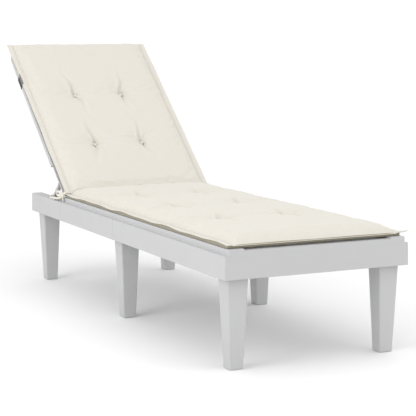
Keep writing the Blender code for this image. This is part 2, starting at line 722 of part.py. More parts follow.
def build_hinge_pins(parts):
    """Pins through the frame's lugs into the ends of the backrest's barrel."""
    length = RIM_X + REST_GAP - PANEL_NARROW_X + HINGE_PIN_GRIP
    for label, side in both_sides():
        headed_pin(
            f"hinge_pin_{label}", (side * (RIM_X + REST_GAP), HINGE_Y, HINGE_Z), -side,
            length, HINGE_PIN_RADIUS, HINGE_PIN_HEAD_RADIUS, HINGE_PIN_HEAD, parts, STEEL,
        )


# ---- Prop and rack ------------------------------------------------------------------
def arm_outline():
    """Side view of a prop arm: a strip with round ends, from its pin to its foot."""
    radius = PROP_ARM_WIDTH / 2
    return arc(PROP_REACH, 0, radius, -90, 90, ARC_STEPS) + arc(0, 0, radius, 90, 270, ARC_STEPS)


def build_prop(pivot, parts, cutters):
    """The prop: two arms beside the backrest, joined by a bar, with a foot outside each arm.

    It is modelled along the backrest, from its pins at the pivot to the bar.
    """
    arm_middle = PROP_ARM_X + PROP_ARM_THICKNESS / 2
    upright = Matrix.Rotation(math.radians(90), 4, "Z") @ Matrix.Rotation(math.radians(90), 4, "X")
    bar = rods(
        "prop_frame", [((-PROP_ARM_X - TINY, PROP_REACH, 0), "X", 2 * (PROP_ARM_X + TINY), PROP_BAR_RADIUS)],
        parts, PLASTIC, pivot,
    )
    for label, side in both_sides():
        turn = Matrix.Translation((side * arm_middle, 0, 0)) @ upright
        arm = outline_solid(
            f"prop_arm_{label}", arm_outline(), PROP_ARM_THICKNESS, turn, cutters, parent=pivot,
        )
        join(bar, arm)
        outer = PROP_ARM_X + PROP_ARM_THICKNESS
        foot_start = (side * (outer - TINY), PROP_REACH, 0)
        foot = rods(
            f"prop_foot_{label}", [(foot_start, "X", side * (PROP_FOOT_LENGTH + TINY), PROP_FOOT_RADIUS)],
            cutters, parent=pivot,
        )
        join(bar, foot)
        bore_start = (side * (PROP_ARM_X - TINY), 0, 0)
        bore = rods(
            f"prop_bore_{label}",
            [(bore_start, "X", side * (PROP_ARM_THICKNESS + 2 * TINY), PROP_PIN_RADIUS + RUNNING_GAP)],
            cutters, parent=pivot,
        )
        cut(bar, bore)
    return bar


def build_prop_pins(back, parts):
    """Pins through the prop's arms into the bosses of the backrest."""
    seat_x = PROP_ARM_X + PROP_ARM_THICKNESS + REST_GAP
    length = seat_x - PANEL_NARROW_X + PROP_BOSS - 3 * TINY
    for label, side in both_sides():
        headed_pin(
            f"prop_pin_{label}", (side * seat_x, PROP_REACH, 0), -side,
            length, PROP_PIN_RADIUS, PROP_PIN_HEAD_RADIUS, PROP_PIN_HEAD, parts, STEEL, back,
        )


def foot_y(angle):
    """Where the prop's foot stands when the backrest is raised to angle."""
    return HINGE_Y + 2 * PROP_REACH * math.cos(angle)


def build_racks(parts, cutters):
    """Notched strips on the side rails, with a notch for each setting of the prop."""
    inner_x = PROP_ARM_X + PROP_ARM_THICKNESS + SIDE_GAP
    low_y = foot_y(STEEPEST_ANGLE) - PROP_FOOT_RADIUS - RACK_END
    high_y = foot_y(0) + PROP_FOOT_RADIUS + RUNNING_GAP
    notch_radius = PROP_FOOT_RADIUS + RUNNING_GAP
    notch_z = RACK_TOP_Z - RACK_NOTCH_DEPTH + notch_radius
    for label, side in both_sides():
        low_x, high_x = span(side, inner_x, inner_x + RACK_WIDTH)
        corners = ((low_x, low_y, RAIL_TOP_Z + REST_GAP), (high_x, high_y, RACK_TOP_Z))
        rack = boxes(f"rack_{label}", [corners], parts, PLASTIC)
        for number, angle in enumerate(RACK_STEPS):
            start = (low_x - TINY, foot_y(angle), notch_z)
            cut(rack, rods(
                f"rack_{label}_notch_{number}", [(start, "X", RACK_WIDTH + 2 * TINY, notch_radius)], cutters,
            ))


# ---- Pad, buttons, strap and ties ---------------------------------------------------
def pad_box(name, start_y, end_y, bottom_z, collection, parent=None):
    half = PAD_WIDTH / 2
    corners = ((-half, start_y, bottom_z), (half, end_y, bottom_z + PAD_THICKNESS))
    pad = boxes(name, [corners], collection, FABRIC, parent)
    bevel(pad, PAD_EDGE_RADIUS, PAD_ROUNDING)
    return pad


def build_buttons(prefix, rows, spread, top_z, collection, parent=None):
    """Covered buttons in two columns, each a low dome on the pad."""
    dome = BUTTON_HEIGHT / 3
    profile = [
        (0, BUTTON_HEIGHT), (BUTTON_RADIUS * BUTTON_CROWN, BUTTON_HEIGHT - dome / 3),
        (BUTTON_RADIUS, BUTTON_HEIGHT - 2 * dome), (BUTTON_RADIUS, 0), (0, 0),
    ]
    for number, y in enumerate(rows, start=1):
        for label, side in both_sides():
            place = (side * spread / 2, y, top_z + REST_GAP)
            name = f"{prefix}_button_{number}_{label}"
            turned(name, profile, AXIS_TURN["Z"], place, collection, FABRIC, parent)


def build_strap(back, collection):
    """Elastic band round the rear of the backrest, sewn to both edges of the pad."""
    inner = RIM_X + REST_GAP
    outer = inner + STRAP_THICKNESS
    rear = -PANEL_THICKNESS / 2 - REST_GAP
    front = PANEL_THICKNESS / 2 + PAD_THICKNESS / 2
    back_face = rear - STRAP_THICKNESS
    points = [
        (-outer, front), (-outer, back_face), (outer, back_face), (outer, front),
        (inner, front), (inner, rear), (-inner, rear), (-inner, front),
    ]
    turn = Matrix.Translation((0, STRAP_PLACE, 0)) @ Matrix.Rotation(math.radians(90), 4, "X")
    outline_solid("elastic_strap", points, STRAP_WIDTH, turn, collection, ELASTIC, back)


def build_ties(collection):
    """Fabric ties that hold the fold of the pad to the hinge lugs, hanging outside them."""
    inner = RIM_X + HINGE_PIN_HEAD + 3 * REST_GAP
    top_z = DECK_TOP_Z + PAD_THICKNESS / 2
    for label, side in both_sides():
        low_x, high_x = span(side, inner, inner + TIE_THICKNESS)
        corners = ((low_x, HINGE_Y - TIE_WIDTH, LEDGE_Z + LEDGE_RISE + TINY), (high_x, HINGE_Y, top_z))
        boxes(f"tie_{label}", [corners], collection, FABRIC)


# ---- Assembly -----------------------------------------------------------------------
def main():
    clear_scene()
    parts = new_collection("reclining_sun_lounger")
    cutters = new_collection("cutters")
    guides = new_collection("guides")

    back = bpy.data.objects.new("backrest_hinge", None)
    back.location = (0, HINGE_Y, HINGE_Z)
    back.rotation_euler = (BACK_ANGLE, 0, 0)
    pivot = bpy.data.objects.new("prop_pivot", None)
    pivot.parent = back
    pivot.location = (0, PROP_REACH, 0)
    pivot.rotation_euler = (-2 * BACK_ANGLE, 0, 0)
    guides.objects.link(back)
    guides.objects.link(pivot)

    build_half_frame("foot_frame", -1, parts, cutters)
    build_half_frame("head_frame", 1, parts, cutters)
    build_legs(parts, cutters)
    build_leg_screws(parts)
    build_half_bolts(parts, cutters)
    build_racks(parts, cutters)
    build_hinge_pins(parts)

    build_panel(back, parts, cutters)
    build_prop(pivot, parts, cutters)
    build_prop_pins(back, parts)

    seat_start = SEAT_PAD_FOOT_INSET - HALF_LENGTH
    seat_bottom = DECK_TOP_Z + REST_GAP
    back_bottom = BACK_PAD_BOTTOM
    pad_box("seat_pad", seat_start, HINGE_Y - PAD_FOLD_GAP, seat_bottom, parts)
    pad_box("back_pad", BACK_PAD_START, BACK_PAD_START + BACK_PAD_LENGTH, back_bottom, parts, back)
    build_buttons("seat", SEAT_BUTTON_ROWS, SEAT_BUTTON_SPREAD, seat_bottom + PAD_THICKNESS, parts)
    build_buttons("back", BACK_BUTTON_ROWS, BACK_BUTTON_SPREAD, back_bottom + PAD_THICKNESS, parts, back)
    build_strap(back, parts)
    build_ties(parts)

    # Everything moves together, so that the origin is at the middle of the whole length.
    for obj in bpy.data.objects:
        if obj.parent is None:
            obj.location.y -= LENGTH_CENTRE_Y
    bpy.context.view_layer.update()


main()
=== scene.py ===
"""Reclining sun lounger: the visible pieces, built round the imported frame.

The file is laid out as a Blender add-on and is run as a script. Each operator makes
one piece or one group of like pieces, and main() calls them in order.
"""
import json
import math

import bmesh
import bpy
import numpy as np
from bpy.props import FloatProperty, FloatVectorProperty, PointerProperty
from mathutils import Matrix, Vector
from mathutils.bvhtree import BVHTree


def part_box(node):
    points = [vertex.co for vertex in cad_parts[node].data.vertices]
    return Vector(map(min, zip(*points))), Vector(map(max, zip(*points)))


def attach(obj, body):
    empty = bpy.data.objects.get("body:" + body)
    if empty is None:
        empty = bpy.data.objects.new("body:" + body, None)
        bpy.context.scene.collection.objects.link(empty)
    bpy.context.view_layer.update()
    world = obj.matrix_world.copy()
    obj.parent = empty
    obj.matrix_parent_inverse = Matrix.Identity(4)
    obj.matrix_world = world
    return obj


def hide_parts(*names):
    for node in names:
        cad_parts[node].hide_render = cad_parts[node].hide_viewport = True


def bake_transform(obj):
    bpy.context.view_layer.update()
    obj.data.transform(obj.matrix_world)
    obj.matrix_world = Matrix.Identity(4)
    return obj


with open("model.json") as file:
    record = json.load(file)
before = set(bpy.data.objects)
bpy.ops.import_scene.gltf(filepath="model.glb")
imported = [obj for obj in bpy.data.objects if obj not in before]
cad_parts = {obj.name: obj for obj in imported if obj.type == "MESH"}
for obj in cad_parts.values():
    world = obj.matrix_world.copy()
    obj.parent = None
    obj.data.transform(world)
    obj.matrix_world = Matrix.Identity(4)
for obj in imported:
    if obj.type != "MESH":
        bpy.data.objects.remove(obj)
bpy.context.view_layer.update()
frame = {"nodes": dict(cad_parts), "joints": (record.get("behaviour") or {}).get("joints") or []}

bl_info = {
    "name": "Reclining Sun Lounger",
    "version": (1, 0, 0),
    "blender": (4, 5, 0),
    "location": "View3D > Sidebar > Lounger",
    "description": "Makes the pad, buttons, ties, strap and finishes of a reclining sun lounger",
    "category": "Add Mesh",
}

MM = 0.001


# ---- Places taken from the frame ----------------------------------------------------
def joint(name):
    return next(j for j in frame["joints"] if j["name"] == name)


HINGE = Vector(joint("backrest_hinge")["pos_m"])
BACK_ANGLE = -math.radians(joint("backrest_hinge")["range_deg"][0])
BACK_PLACE = Matrix.Translation(HINGE) @ Matrix.Rotation(BACK_ANGLE, 4, "X")
SEAT_LOW, SEAT_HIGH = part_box("seat_pad")


def in_back(node):
    """Lowest and highest corner of a CAD node along the backrest's own axes."""
    turn = BACK_PLACE.inverted()
    points = np.array([turn @ v.co for v in frame["nodes"][node].data.vertices])
    return points.min(0), points.max(0)


BACK_PAD_LOW, BACK_PAD_HIGH = in_back("back_pad")
PAD_HALF = (SEAT_HIGH.x - SEAT_LOW.x) / 2


# ---- Settings -----------------------------------------------------------------------
def length(name, description, default):
    return FloatProperty(name=name, description=description, default=default, min=0.0, unit="LENGTH")


def colour(name, description, hex_value):
    return FloatVectorProperty(
        name=name, description=description, subtype="COLOR", size=3, min=0.0, max=1.0,
        default=linear(hex_value),
    )


def linear(hex_value):
    """Linear RGB of an sRGB hex colour."""
    found = []
    for start in (0, 2, 4):
        c = int(hex_value.lstrip("#")[start:start + 2], 16) / 255
        found.append(c / 12.92 if c <= 0.04045 else ((c + 0.055) / 1.055) ** 2.4)
    return tuple(found)


class LoungerPadSettings(bpy.types.PropertyGroup):
    crown: length("Crown", "Height of the pad's middle above the deck", 0.0310)
    edge: length("Edge", "Height of the pad's sewn edge", 0.0105)
    border: length("Border", "Edge to the stitched line along each long side", 0.0180)
    flange: length("Flange", "Width of the seam that stands out round the edge", 0.0035)
    stitch: length("Stitch", "Length of one stitch", 0.0034)
    stitch_gap: length("Stitch gap", "Gap between two stitches", 0.0016)
    button: length("Button", "Radius of a covered button", 0.0076)
    cloth: colour("Cloth", "Woven cover of the pad", "#DAD6CC")
    # The pad's walls and base get a darker copy of the cover cloth, as painted shade
    wall_painted_shade: colour("Wall painted shade", "Woven cloth of the pad's walls and base", "#97917F")
    thread: colour("Thread", "Sewing thread", "#CDC9BC")


class LoungerFrameSettings(bpy.types.PropertyGroup):
    plastic: colour("Plastic", "Moulded base and backrest", "#BDBDBE")
    steel: colour("Steel", "Zinc-plated fasteners", "#B9BBBE")
    elastic: colour("Elastic", "Band behind the backrest", "#17171A")
    tape: colour("Tape", "Ties at the fold", "#E4DFD2")
    rib: length("Rib", "Spacing of the elastic's ribs", 0.0022)


class LoungerStageSettings(bpy.types.PropertyGroup):
    floor: colour("Floor", "Pale floor", "#FDFDFD")
    key: FloatProperty(name="Key", description="Strength of the large soft light", default=54.0, min=0.0)
    sky: FloatProperty(name="Sky", description="Strength of the even light all round", default=1.08, min=0.0)


# ---- Node and material helpers ------------------------------------------------------
def add_node(tree, kind, links=(), **settings):
    """A node with its settings, its unlinked values and its links.

    A setting that names an input sets its value. links are (input, output socket).
    """
    node = tree.nodes.new(kind)
    for name, value in settings.items():
        if name.startswith("in_"):
            node.inputs[int(name[3:])].default_value = value
        else:
            setattr(node, name, value)
    for place, socket in links:
        tree.links.new(socket, node.inputs[place])
    return node


def new_material(name, base, roughness, metallic=0.0, **values):
    """A material, its tree, its shader and its Object coordinates."""
    made = bpy.data.materials.new(name)
    made.use_nodes = True
    tree = made.node_tree
    shader = tree.nodes["Principled BSDF"]
    shader.inputs["Base Color"].default_value = (*base, 1.0)
    shader.inputs["Roughness"].default_value = roughness
    shader.inputs["Metallic"].default_value = metallic
    for key, value in values.items():
        shader.inputs[key.replace("_", " ")].default_value = value
    coords = add_node(tree, "ShaderNodeTexCoord").outputs["Object"]
    return made, tree, shader, coords


def shade(base, factor):
    return tuple(min(1.0, c * factor) for c in base) + (1.0,)


def two_tone(tree, factor, low, high):
    """A colour that runs from low to high with factor."""
    mix = add_node(tree, "ShaderNodeMix", data_type="RGBA")
    tree.links.new(factor, mix.inputs["Factor"])
    mix.inputs[6].default_value = low
    mix.inputs[7].default_value = high
    return mix.outputs[2]


def moulded_polypropylene(base):
    """Injection-moulded polypropylene with a fine spark-eroded grain.

    The eye gets a satin, even light grey whose highlights break up slightly, with
    faint clouding where the melt cooled.
    """
    made, tree, shader, coords = new_material("moulded_polypropylene", base, 0.42, IOR=1.49)
    cloud = add_node(tree, "ShaderNodeTexNoise", [("Vector", coords)])
    cloud.inputs["Scale"].default_value = 6.0
    cloud.inputs["Detail"].default_value = 3.0
    tree.links.new(two_tone(tree, cloud.outputs["Fac"], shade(base, 0.975), shade(base, 1.02)),
                   shader.inputs["Base Color"])
    grain = add_node(tree, "ShaderNodeTexNoise", [("Vector", coords)])
    grain.inputs["Scale"].default_value = 900.0   # about 1.1 mm grain
    grain.inputs["Detail"].default_value = 2.0
    spread = add_node(tree, "ShaderNodeMapRange", [("Value", grain.outputs["Fac"])])
    spread.inputs["To Min"].default_value = 0.38
    spread.inputs["To Max"].default_value = 0.50
    tree.links.new(spread.outputs["Result"], shader.inputs["Roughness"])
    bump = add_node(tree, "ShaderNodeBump", [("Height", grain.outputs["Fac"])])
    bump.inputs["Strength"].default_value = 0.12
    bump.inputs["Distance"].default_value = 0.0002
    tree.links.new(bump.outputs["Normal"], shader.inputs["Normal"])
    return made


def weave_height(tree, coords, pitch):
    """Height of a plain weave whose threads are pitch apart, on two flattened axes."""
    apart = add_node(tree, "ShaderNodeSeparateXYZ", [("Vector", coords)])
    waves = []
    for axis in ("X", "Y"):
        turned = add_node(tree, "ShaderNodeMath", [(0, apart.outputs[axis])], operation="MULTIPLY",
                          in_1=2 * math.pi / pitch)
        waves.append(add_node(tree, "ShaderNodeMath", [(0, turned.outputs[0])], operation="SINE"))
    crossed = add_node(tree, "ShaderNodeMath", [(0, waves[0].outputs[0]), (1, waves[1].outputs[0])],
                       operation="MULTIPLY")
    return crossed.outputs[0]


def woven_cloth(name, base, pitch, flat_uv=True):
    """Plain-woven polyester: matt, with a fine weave and slubs along both threads.

    The weave is drawn at about 1.4 mm, coarser than its real 0.5 mm, so that it shows.
    """
    made, tree, shader, coords = new_material(
        name, base, 0.88, IOR=1.45, Sheen_Weight=0.25, Sheen_Roughness=0.5, Specular_IOR_Level=0.25,
    )
    if flat_uv:
        coords = add_node(tree, "ShaderNodeAttribute", attribute_name="flat_place").outputs["Vector"]
    weave = weave_height(tree, coords, pitch)
    slub_x = add_node(tree, "ShaderNodeMapping", [("Vector", coords)])
    slub_x.inputs["Scale"].default_value = (12.0, 400.0, 1.0)
    slub_y = add_node(tree, "ShaderNodeMapping", [("Vector", coords)])
    slub_y.inputs["Scale"].default_value = (400.0, 12.0, 1.0)
    threads = []
    for slub in (slub_x, slub_y):
        noise = add_node(tree, "ShaderNodeTexNoise", [("Vector", slub.outputs["Vector"])])
        noise.inputs["Scale"].default_value = 1.0
        noise.inputs["Detail"].default_value = 1.0
        threads.append(noise.outputs["Fac"])
    both = add_node(tree, "ShaderNodeMath", [(0, threads[0]), (1, threads[1])], operation="ADD")
    half = add_node(tree, "ShaderNodeMath", [(0, both.outputs[0])], operation="MULTIPLY", in_1=0.5)
    tree.links.new(two_tone(tree, half.outputs[0], shade(base, 0.955), shade(base, 1.035)),
                   shader.inputs["Base Color"])
    rise = add_node(tree, "ShaderNodeMath", [(0, weave), (1, half.outputs[0])], operation="ADD")
    bump = add_node(tree, "ShaderNodeBump", [("Height", rise.outputs[0])])
    bump.inputs["Strength"].default_value = 0.22
    bump.inputs["Distance"].default_value = 0.0003
    tree.links.new(bump.outputs["Normal"], shader.inputs["Normal"])
    return made


def ribbed_elastic(base, rib):
    """Woven elastic with rubber cores: dull black with fine lengthwise ribs."""
    made, tree, shader, coords = new_material("woven_elastic", base, 0.75, IOR=1.5, Sheen_Weight=0.15)
    place = add_node(tree, "ShaderNodeAttribute", attribute_name="flat_place").outputs["Vector"]
    apart = add_node(tree, "ShaderNodeSeparateXYZ", [("Vector", place)])
    turned = add_node(tree, "ShaderNodeMath", [(0, apart.outputs["Y"])], operation="MULTIPLY",
                      in_1=2 * math.pi / rib)
    wave = add_node(tree, "ShaderNodeMath", [(0, turned.outputs[0])], operation="SINE")
    bump = add_node(tree, "ShaderNodeBump", [("Height", wave.outputs[0])])
    bump.inputs["Strength"].default_value = 0.6
    bump.inputs["Distance"].default_value = 0.0003
    tree.links.new(bump.outputs["Normal"], shader.inputs["Normal"])
    speck = add_node(tree, "ShaderNodeTexNoise", [("Vector", coords)])
    speck.inputs["Scale"].default_value = 700.0
    tree.links.new(two_tone(tree, speck.outputs["Fac"], shade(base, 0.6), shade(base, 1.9)),
                   shader.inputs["Base Color"])
    return made


def zinc_plated_steel(base):
    """Bright zinc-plated steel: a soft metal shine, faintly mottled by the plating."""
    made, tree, shader, coords = new_material("zinc_plated_steel", base, 0.34, metallic=1.0)
    mottle = add_node(tree, "ShaderNodeTexNoise", [("Vector", coords)])
    mottle.inputs["Scale"].default_value = 500.0
    mottle.inputs["Detail"].default_value = 4.0
    spread = add_node(tree, "ShaderNodeMapRange", [("Value", mottle.outputs["Fac"])])
    spread.inputs["To Min"].default_value = 0.26
    spread.inputs["To Max"].default_value = 0.44
    tree.links.new(spread.outputs["Result"], shader.inputs["Roughness"])
    return made


def painted_floor(base):
    """Matt painted floor: pale and even."""
    made, tree, shader, coords = new_material("matt_floor", base, 0.95, IOR=1.4, Specular_IOR_Level=0.1)
    tone = add_node(tree, "ShaderNodeTexNoise", [("Vector", coords)])
    tone.inputs["Scale"].default_value = 0.7
    tree.links.new(two_tone(tree, tone.outputs["Fac"], shade(base, 0.995), shade(base, 1.0)),
                   shader.inputs["Base Color"])
    return made


def material(name):
    return bpy.data.materials[name]


# ---- Mesh helpers -------------------------------------------------------------------
def link(obj):
    bpy.context.scene.collection.objects.link(obj)
    return obj


def mesh_from(name, points, faces, look=None, smooth=True):
    mesh = bpy.data.meshes.new(name)
    mesh.from_pydata([tuple(p) for p in points], [], [tuple(f) for f in faces])
    mesh.validate()
    if look:
        mesh.materials.append(look)
    if smooth:
        mesh.shade_smooth()
    return link(bpy.data.objects.new(name, mesh))


def outward(obj):
    bm = bmesh.new()
    bm.from_mesh(obj.data)
    bmesh.ops.remove_doubles(bm, verts=bm.verts, dist=1e-6)
    bmesh.ops.recalc_face_normals(bm, faces=bm.faces)
    bm.to_mesh(obj.data)
    bm.free()
    return obj


def evaluated_copy(obj, name):
    """A plain mesh object with obj's modifiers applied; obj is removed."""
    graph = bpy.context.evaluated_depsgraph_get()
    graph.update()
    mesh = bpy.data.meshes.new_from_object(obj.evaluated_get(graph), depsgraph=graph)
    mesh.name = name
    bpy.data.objects.remove(obj, do_unlink=True)
    made = link(bpy.data.objects.new(name, mesh))
    made.name = name
    return made


def coordinates(mesh):
    found = np.empty(len(mesh.vertices) * 3, np.float64)
    mesh.vertices.foreach_get("co", found)
    return found.reshape(-1, 3)


def set_coordinates(mesh, points):
    mesh.vertices.foreach_set("co", np.asarray(points, np.float32).ravel())
    mesh.update()


def put_attribute(mesh, name, values, kind="FLOAT"):
    attribute = mesh.attributes.get(name) or mesh.attributes.new(name, kind, "POINT")
    values = np.asarray(values, np.float32)
    attribute.data.foreach_set("vector" if kind == "FLOAT_VECTOR" else "value", values.ravel())


def get_attribute(mesh, name, width=1):
    found = np.empty(len(mesh.vertices) * width, np.float32)
    mesh.attributes[name].data.foreach_get("vector" if width == 3 else "value", found)
    return found.reshape(-1, width) if width > 1 else found


def apply_matrix(points, matrix):
    m = np.array(matrix)
    return points @ m[:3, :3].T + m[:3, 3]


def sweep(name, path, outs, ups, profile, look, closed=False):
    """A solid whose profile, (out, up) pairs, is carried along path on per-point axes."""
    path, outs, ups = np.asarray(path), np.asarray(outs), np.asarray(ups)
    count, sides = len(path), len(profile)
    rings = [path[i] + p[0] * outs[i] + p[1] * ups[i] for i in range(count) for p in profile]
    faces = []
    for i in range(count if closed else count - 1):
        for k in range(sides):
            a, b = i * sides + k, i * sides + (k + 1) % sides
            c, d = ((i + 1) % count) * sides + (k + 1) % sides, ((i + 1) % count) * sides + k
            faces.append((a, b, c, d))
    if not closed:
        faces.append(tuple(range(sides))[::-1])
        faces.append(tuple((count - 1) * sides + k for k in range(sides)))
    return outward(mesh_from(name, rings, faces, look))


def ellipse(half_width, half_height, sides=8):
    return [
        (half_width * math.cos(2 * math.pi * k / sides), half_height * math.sin(2 * math.pi * k / sides))
        for k in range(sides)
    ]


# ---- The pad's shape ----------------------------------------------------------------
SEAT_BUTTONS = [
    tuple(sum(c) / 2 for c in zip(*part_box(node)))[:2]
    for node in sorted(frame["nodes"]) if node.startswith("seat_button")
]
BACK_BUTTONS = [
    tuple((low + high) / 2)[:2]
    for low, high in (in_back(n) for n in sorted(frame["nodes"]) if n.startswith("back_button"))
]
FOLD_LEAN = math.tan(BACK_ANGLE / 2)
SEAT_BOTTOM = SEAT_LOW.z
SEAT_START = SEAT_LOW.y
FOLD_FOOT_Y = HINGE.y - 0.0025      # where the fold's plane meets the deck
BACK_BOTTOM = BACK_PAD_LOW[2]
BACK_END = BACK_PAD_HIGH[1]
FOLD_FOOT_V = 0.0035
FOLD_GAP = 0.0014
SWELL_LIMIT = 0.0055                # the filling lifts the cover by no more than this
EDGE_WAVES = {-1: 0.0026, 1: 0.0012}  # how far the sewn edge rises and falls on each side
SHOULDER = 0.0085                   # how quickly the filling rises inside each side border
END_SHOULDER = 0.008                # and inside the far end
FOLD_DIP = 0.24                     # share of the crown that is missing at the fold
FOLD_DIP_REACH = 0.006
PIT_FLOOR = 0.0105                  # height left under a button
RAY_HEIGHT = 0.06                   # rays that find the cover start this far above the pad's base
BUTTON_LIFT = 0.0034                # buttons stand this far above the cover in their pits
PIT = ((0.72, 0.016), (0.28, 0.056))  # share and reach of a button's pit and of the dip round it
HELD_END = 0.013                    # the cover is held this far from each end as it swells
SWELL_FRAMES = 20
COARSE, FINE = 0.0095, 0.0042       # spacing of the pad's grid, and near a button or a border


class Section:
    """One stuffed section of the pad, laid flat: u across, v along, w up from its base."""

    def __init__(self, name, start, end, fold_end, buttons, seed):
        self.name = name
        self.start, self.end = start, end
        self.fold_end = fold_end
        self.buttons = buttons
        self.random = np.random.default_rng(seed)
        self.pad = bpy.context.scene.lounger_pad
        self.creases = self.plan_creases()

    def edge_wave(self, side, v):
        """Rise and fall of the sewn edge along the long side."""
        phase = 0.9 if side > 0 else 0.0
        wave = 0.55 * np.sin(v * 21.0 + phase) + 0.45 * np.sin(v * 37.0 + 2.1 + phase)
        ends = np.clip(np.minimum(v - self.start, self.end - v) / 0.05, 0, 1)
        return wave * ends

    def height(self, u, v):
        """Top of the resting shape above the base."""
        pad = self.pad
        side = PAD_HALF - np.abs(u)
        near_end = v - self.start if self.fold_end > 0 else self.end - v
        near_fold = self.end - v if self.fold_end > 0 else v - self.start
        across = np.clip(side / pad.border, 0, 1)
        rim = pad.edge + 0.0012 * np.sin(np.pi * across) - 0.0022 * across ** 3
        body = 1 - np.exp(-np.clip(side - pad.border, 0, None) / SHOULDER)
        ends = 1 - np.exp(-np.clip(near_end, 0, None) / END_SHOULDER)
        fold = 1 - FOLD_DIP * np.exp(-np.clip(near_fold, 0, None) / FOLD_DIP_REACH)
        crown = (pad.crown - pad.edge) * body * ends * fold
        rise = rim * (0.86 + 0.14 * ends) + crown
        for bu, bv in self.buttons:
            far = np.hypot(u - bu, v - bv)
            (pit, pit_reach), (dip, dip_reach) = PIT
            sunk = pit * np.exp(-(far / pit_reach) ** 2) + dip * np.exp(-(far / dip_reach) ** 2)
            rise = rise - (rise - PIT_FLOOR) * sunk
        return rise

    def lines(self, places, low, high, fine, coarse, reach):
        """Grid lines from low to high, closer together near each of places."""
        found = [low]
        while found[-1] < high:
            near = min([abs(found[-1] - p) for p in places])
            step = fine + (coarse - fine) * min(1.0, max(0.0, near - reach) / reach)
            found.append(found[-1] + step)
        found = np.array(found)
        return low + (found - low) * (high - low) / (found[-1] - low)

    def blank(self):
        """The closed resting shape: a top, a base and the wall between them."""
        pad = self.pad
        us = self.lines([b[0] for b in self.buttons] + [PAD_HALF - pad.border, pad.border - PAD_HALF],
                        -PAD_HALF, PAD_HALF, FINE, COARSE, 0.020)
        vs = self.lines([b[1] for b in self.buttons] + [self.end if self.fold_end > 0 else self.start],
                        self.start, self.end, FINE, COARSE, 0.024)
        nu, nv = len(us), len(vs)
        gu, gv = np.meshgrid(us, vs, indexing="ij")
        top = self.height(gu, gv)
        for side, wave in EDGE_WAVES.items():
            top = top + wave * self.edge_wave(side, gv) * np.exp(-(PAD_HALF - side * gu) / 0.02)
        points = [np.stack([gu, gv, top], -1).reshape(-1, 3), np.stack([gu, gv, gu * 0], -1).reshape(-1, 3)]
        index = np.arange(nu * nv).reshape(nu, nv)
        faces = []
        for layer, flip in ((0, False), (nu * nv, True)):
            a, b = index[:-1, :-1] + layer, index[1:, :-1] + layer
            c, d = index[1:, 1:] + layer, index[:-1, 1:] + layer
            quads = np.stack([a, b, c, d] if not flip else [a, d, c, b], -1).reshape(-1, 4)
            faces.append(quads)
        ring = np.concatenate([index[:-1, 0], index[-1, :-1], index[:0:-1, -1], index[0, :0:-1]])
        rows = [ring]
        total = 2 * nu * nv
        outline = points[0][ring]
        wall_ends = points[0][ring][:, 2]
        centre_u, centre_v = 0.0, (self.start + self.end) / 2
        inward = np.stack([np.sign(centre_u - outline[:, 0]) * (np.abs(outline[:, 0]) > PAD_HALF - 1e-5),
                           np.sign(centre_v - outline[:, 1]) * ((outline[:, 1] < self.start + 1e-5)
                                                                 | (outline[:, 1] > self.end - 1e-5))], -1)
        for share, tuck in ((0.72, 0.0012), (0.38, 0.0016)):
            extra = np.stack([outline[:, 0] + inward[:, 0] * tuck, outline[:, 1] + inward[:, 1] * tuck,
                              wall_ends * share], -1)
            points.append(extra)
            rows.append(np.arange(total, total + len(ring)))
            total += len(ring)
        rows.append(ring + nu * nv)
        for upper, lower in zip(rows[:-1], rows[1:]):
            a, b = upper, np.roll(upper, -1)
            c, d = np.roll(lower, -1), lower
            faces.append(np.stack([a, d, c, b], -1))
        points = np.concatenate(points)
        faces = np.concatenate(faces)
        is_top = np.zeros(len(points))
        is_top[:nu * nv] = 1.0
        obj = mesh_from(self.name, points, faces)
        put_attribute(obj.data, "flat_place", points, "FLOAT_VECTOR")
        put_attribute(obj.data, "top", is_top)
        # Walls and base take the second slot, the cover cloth darkened as painted shade
        under = np.ones(len(faces), np.int32)
        under[:(nu - 1) * (nv - 1)] = 0
        obj.data.materials.append(None)
        obj.data.materials.append(None)
        obj.data.polygons.foreach_set("material_index", under)
        return obj

    def held(self, points, is_top):
        """How firmly each point is held while the filling swells the cover."""
        side = PAD_HALF - np.abs(points[:, 0])
        hold = np.ones(len(points))
        free = (is_top > 0.5) & (side > self.pad.border + 0.004)
        free &= (points[:, 1] > self.start + HELD_END) & (points[:, 1] < self.end - HELD_END)
        for bu, bv in self.buttons:
            free &= np.hypot(points[:, 0] - bu, points[:, 1] - bv) > 0.0075
        hold[free] = 0.0
        return hold

    def swell(self, obj, cap):
        """Swell the cover with a cloth simulation, held at its seams and buttons."""
        rest = coordinates(obj.data)
        hold = self.held(rest, get_attribute(obj.data, "top"))
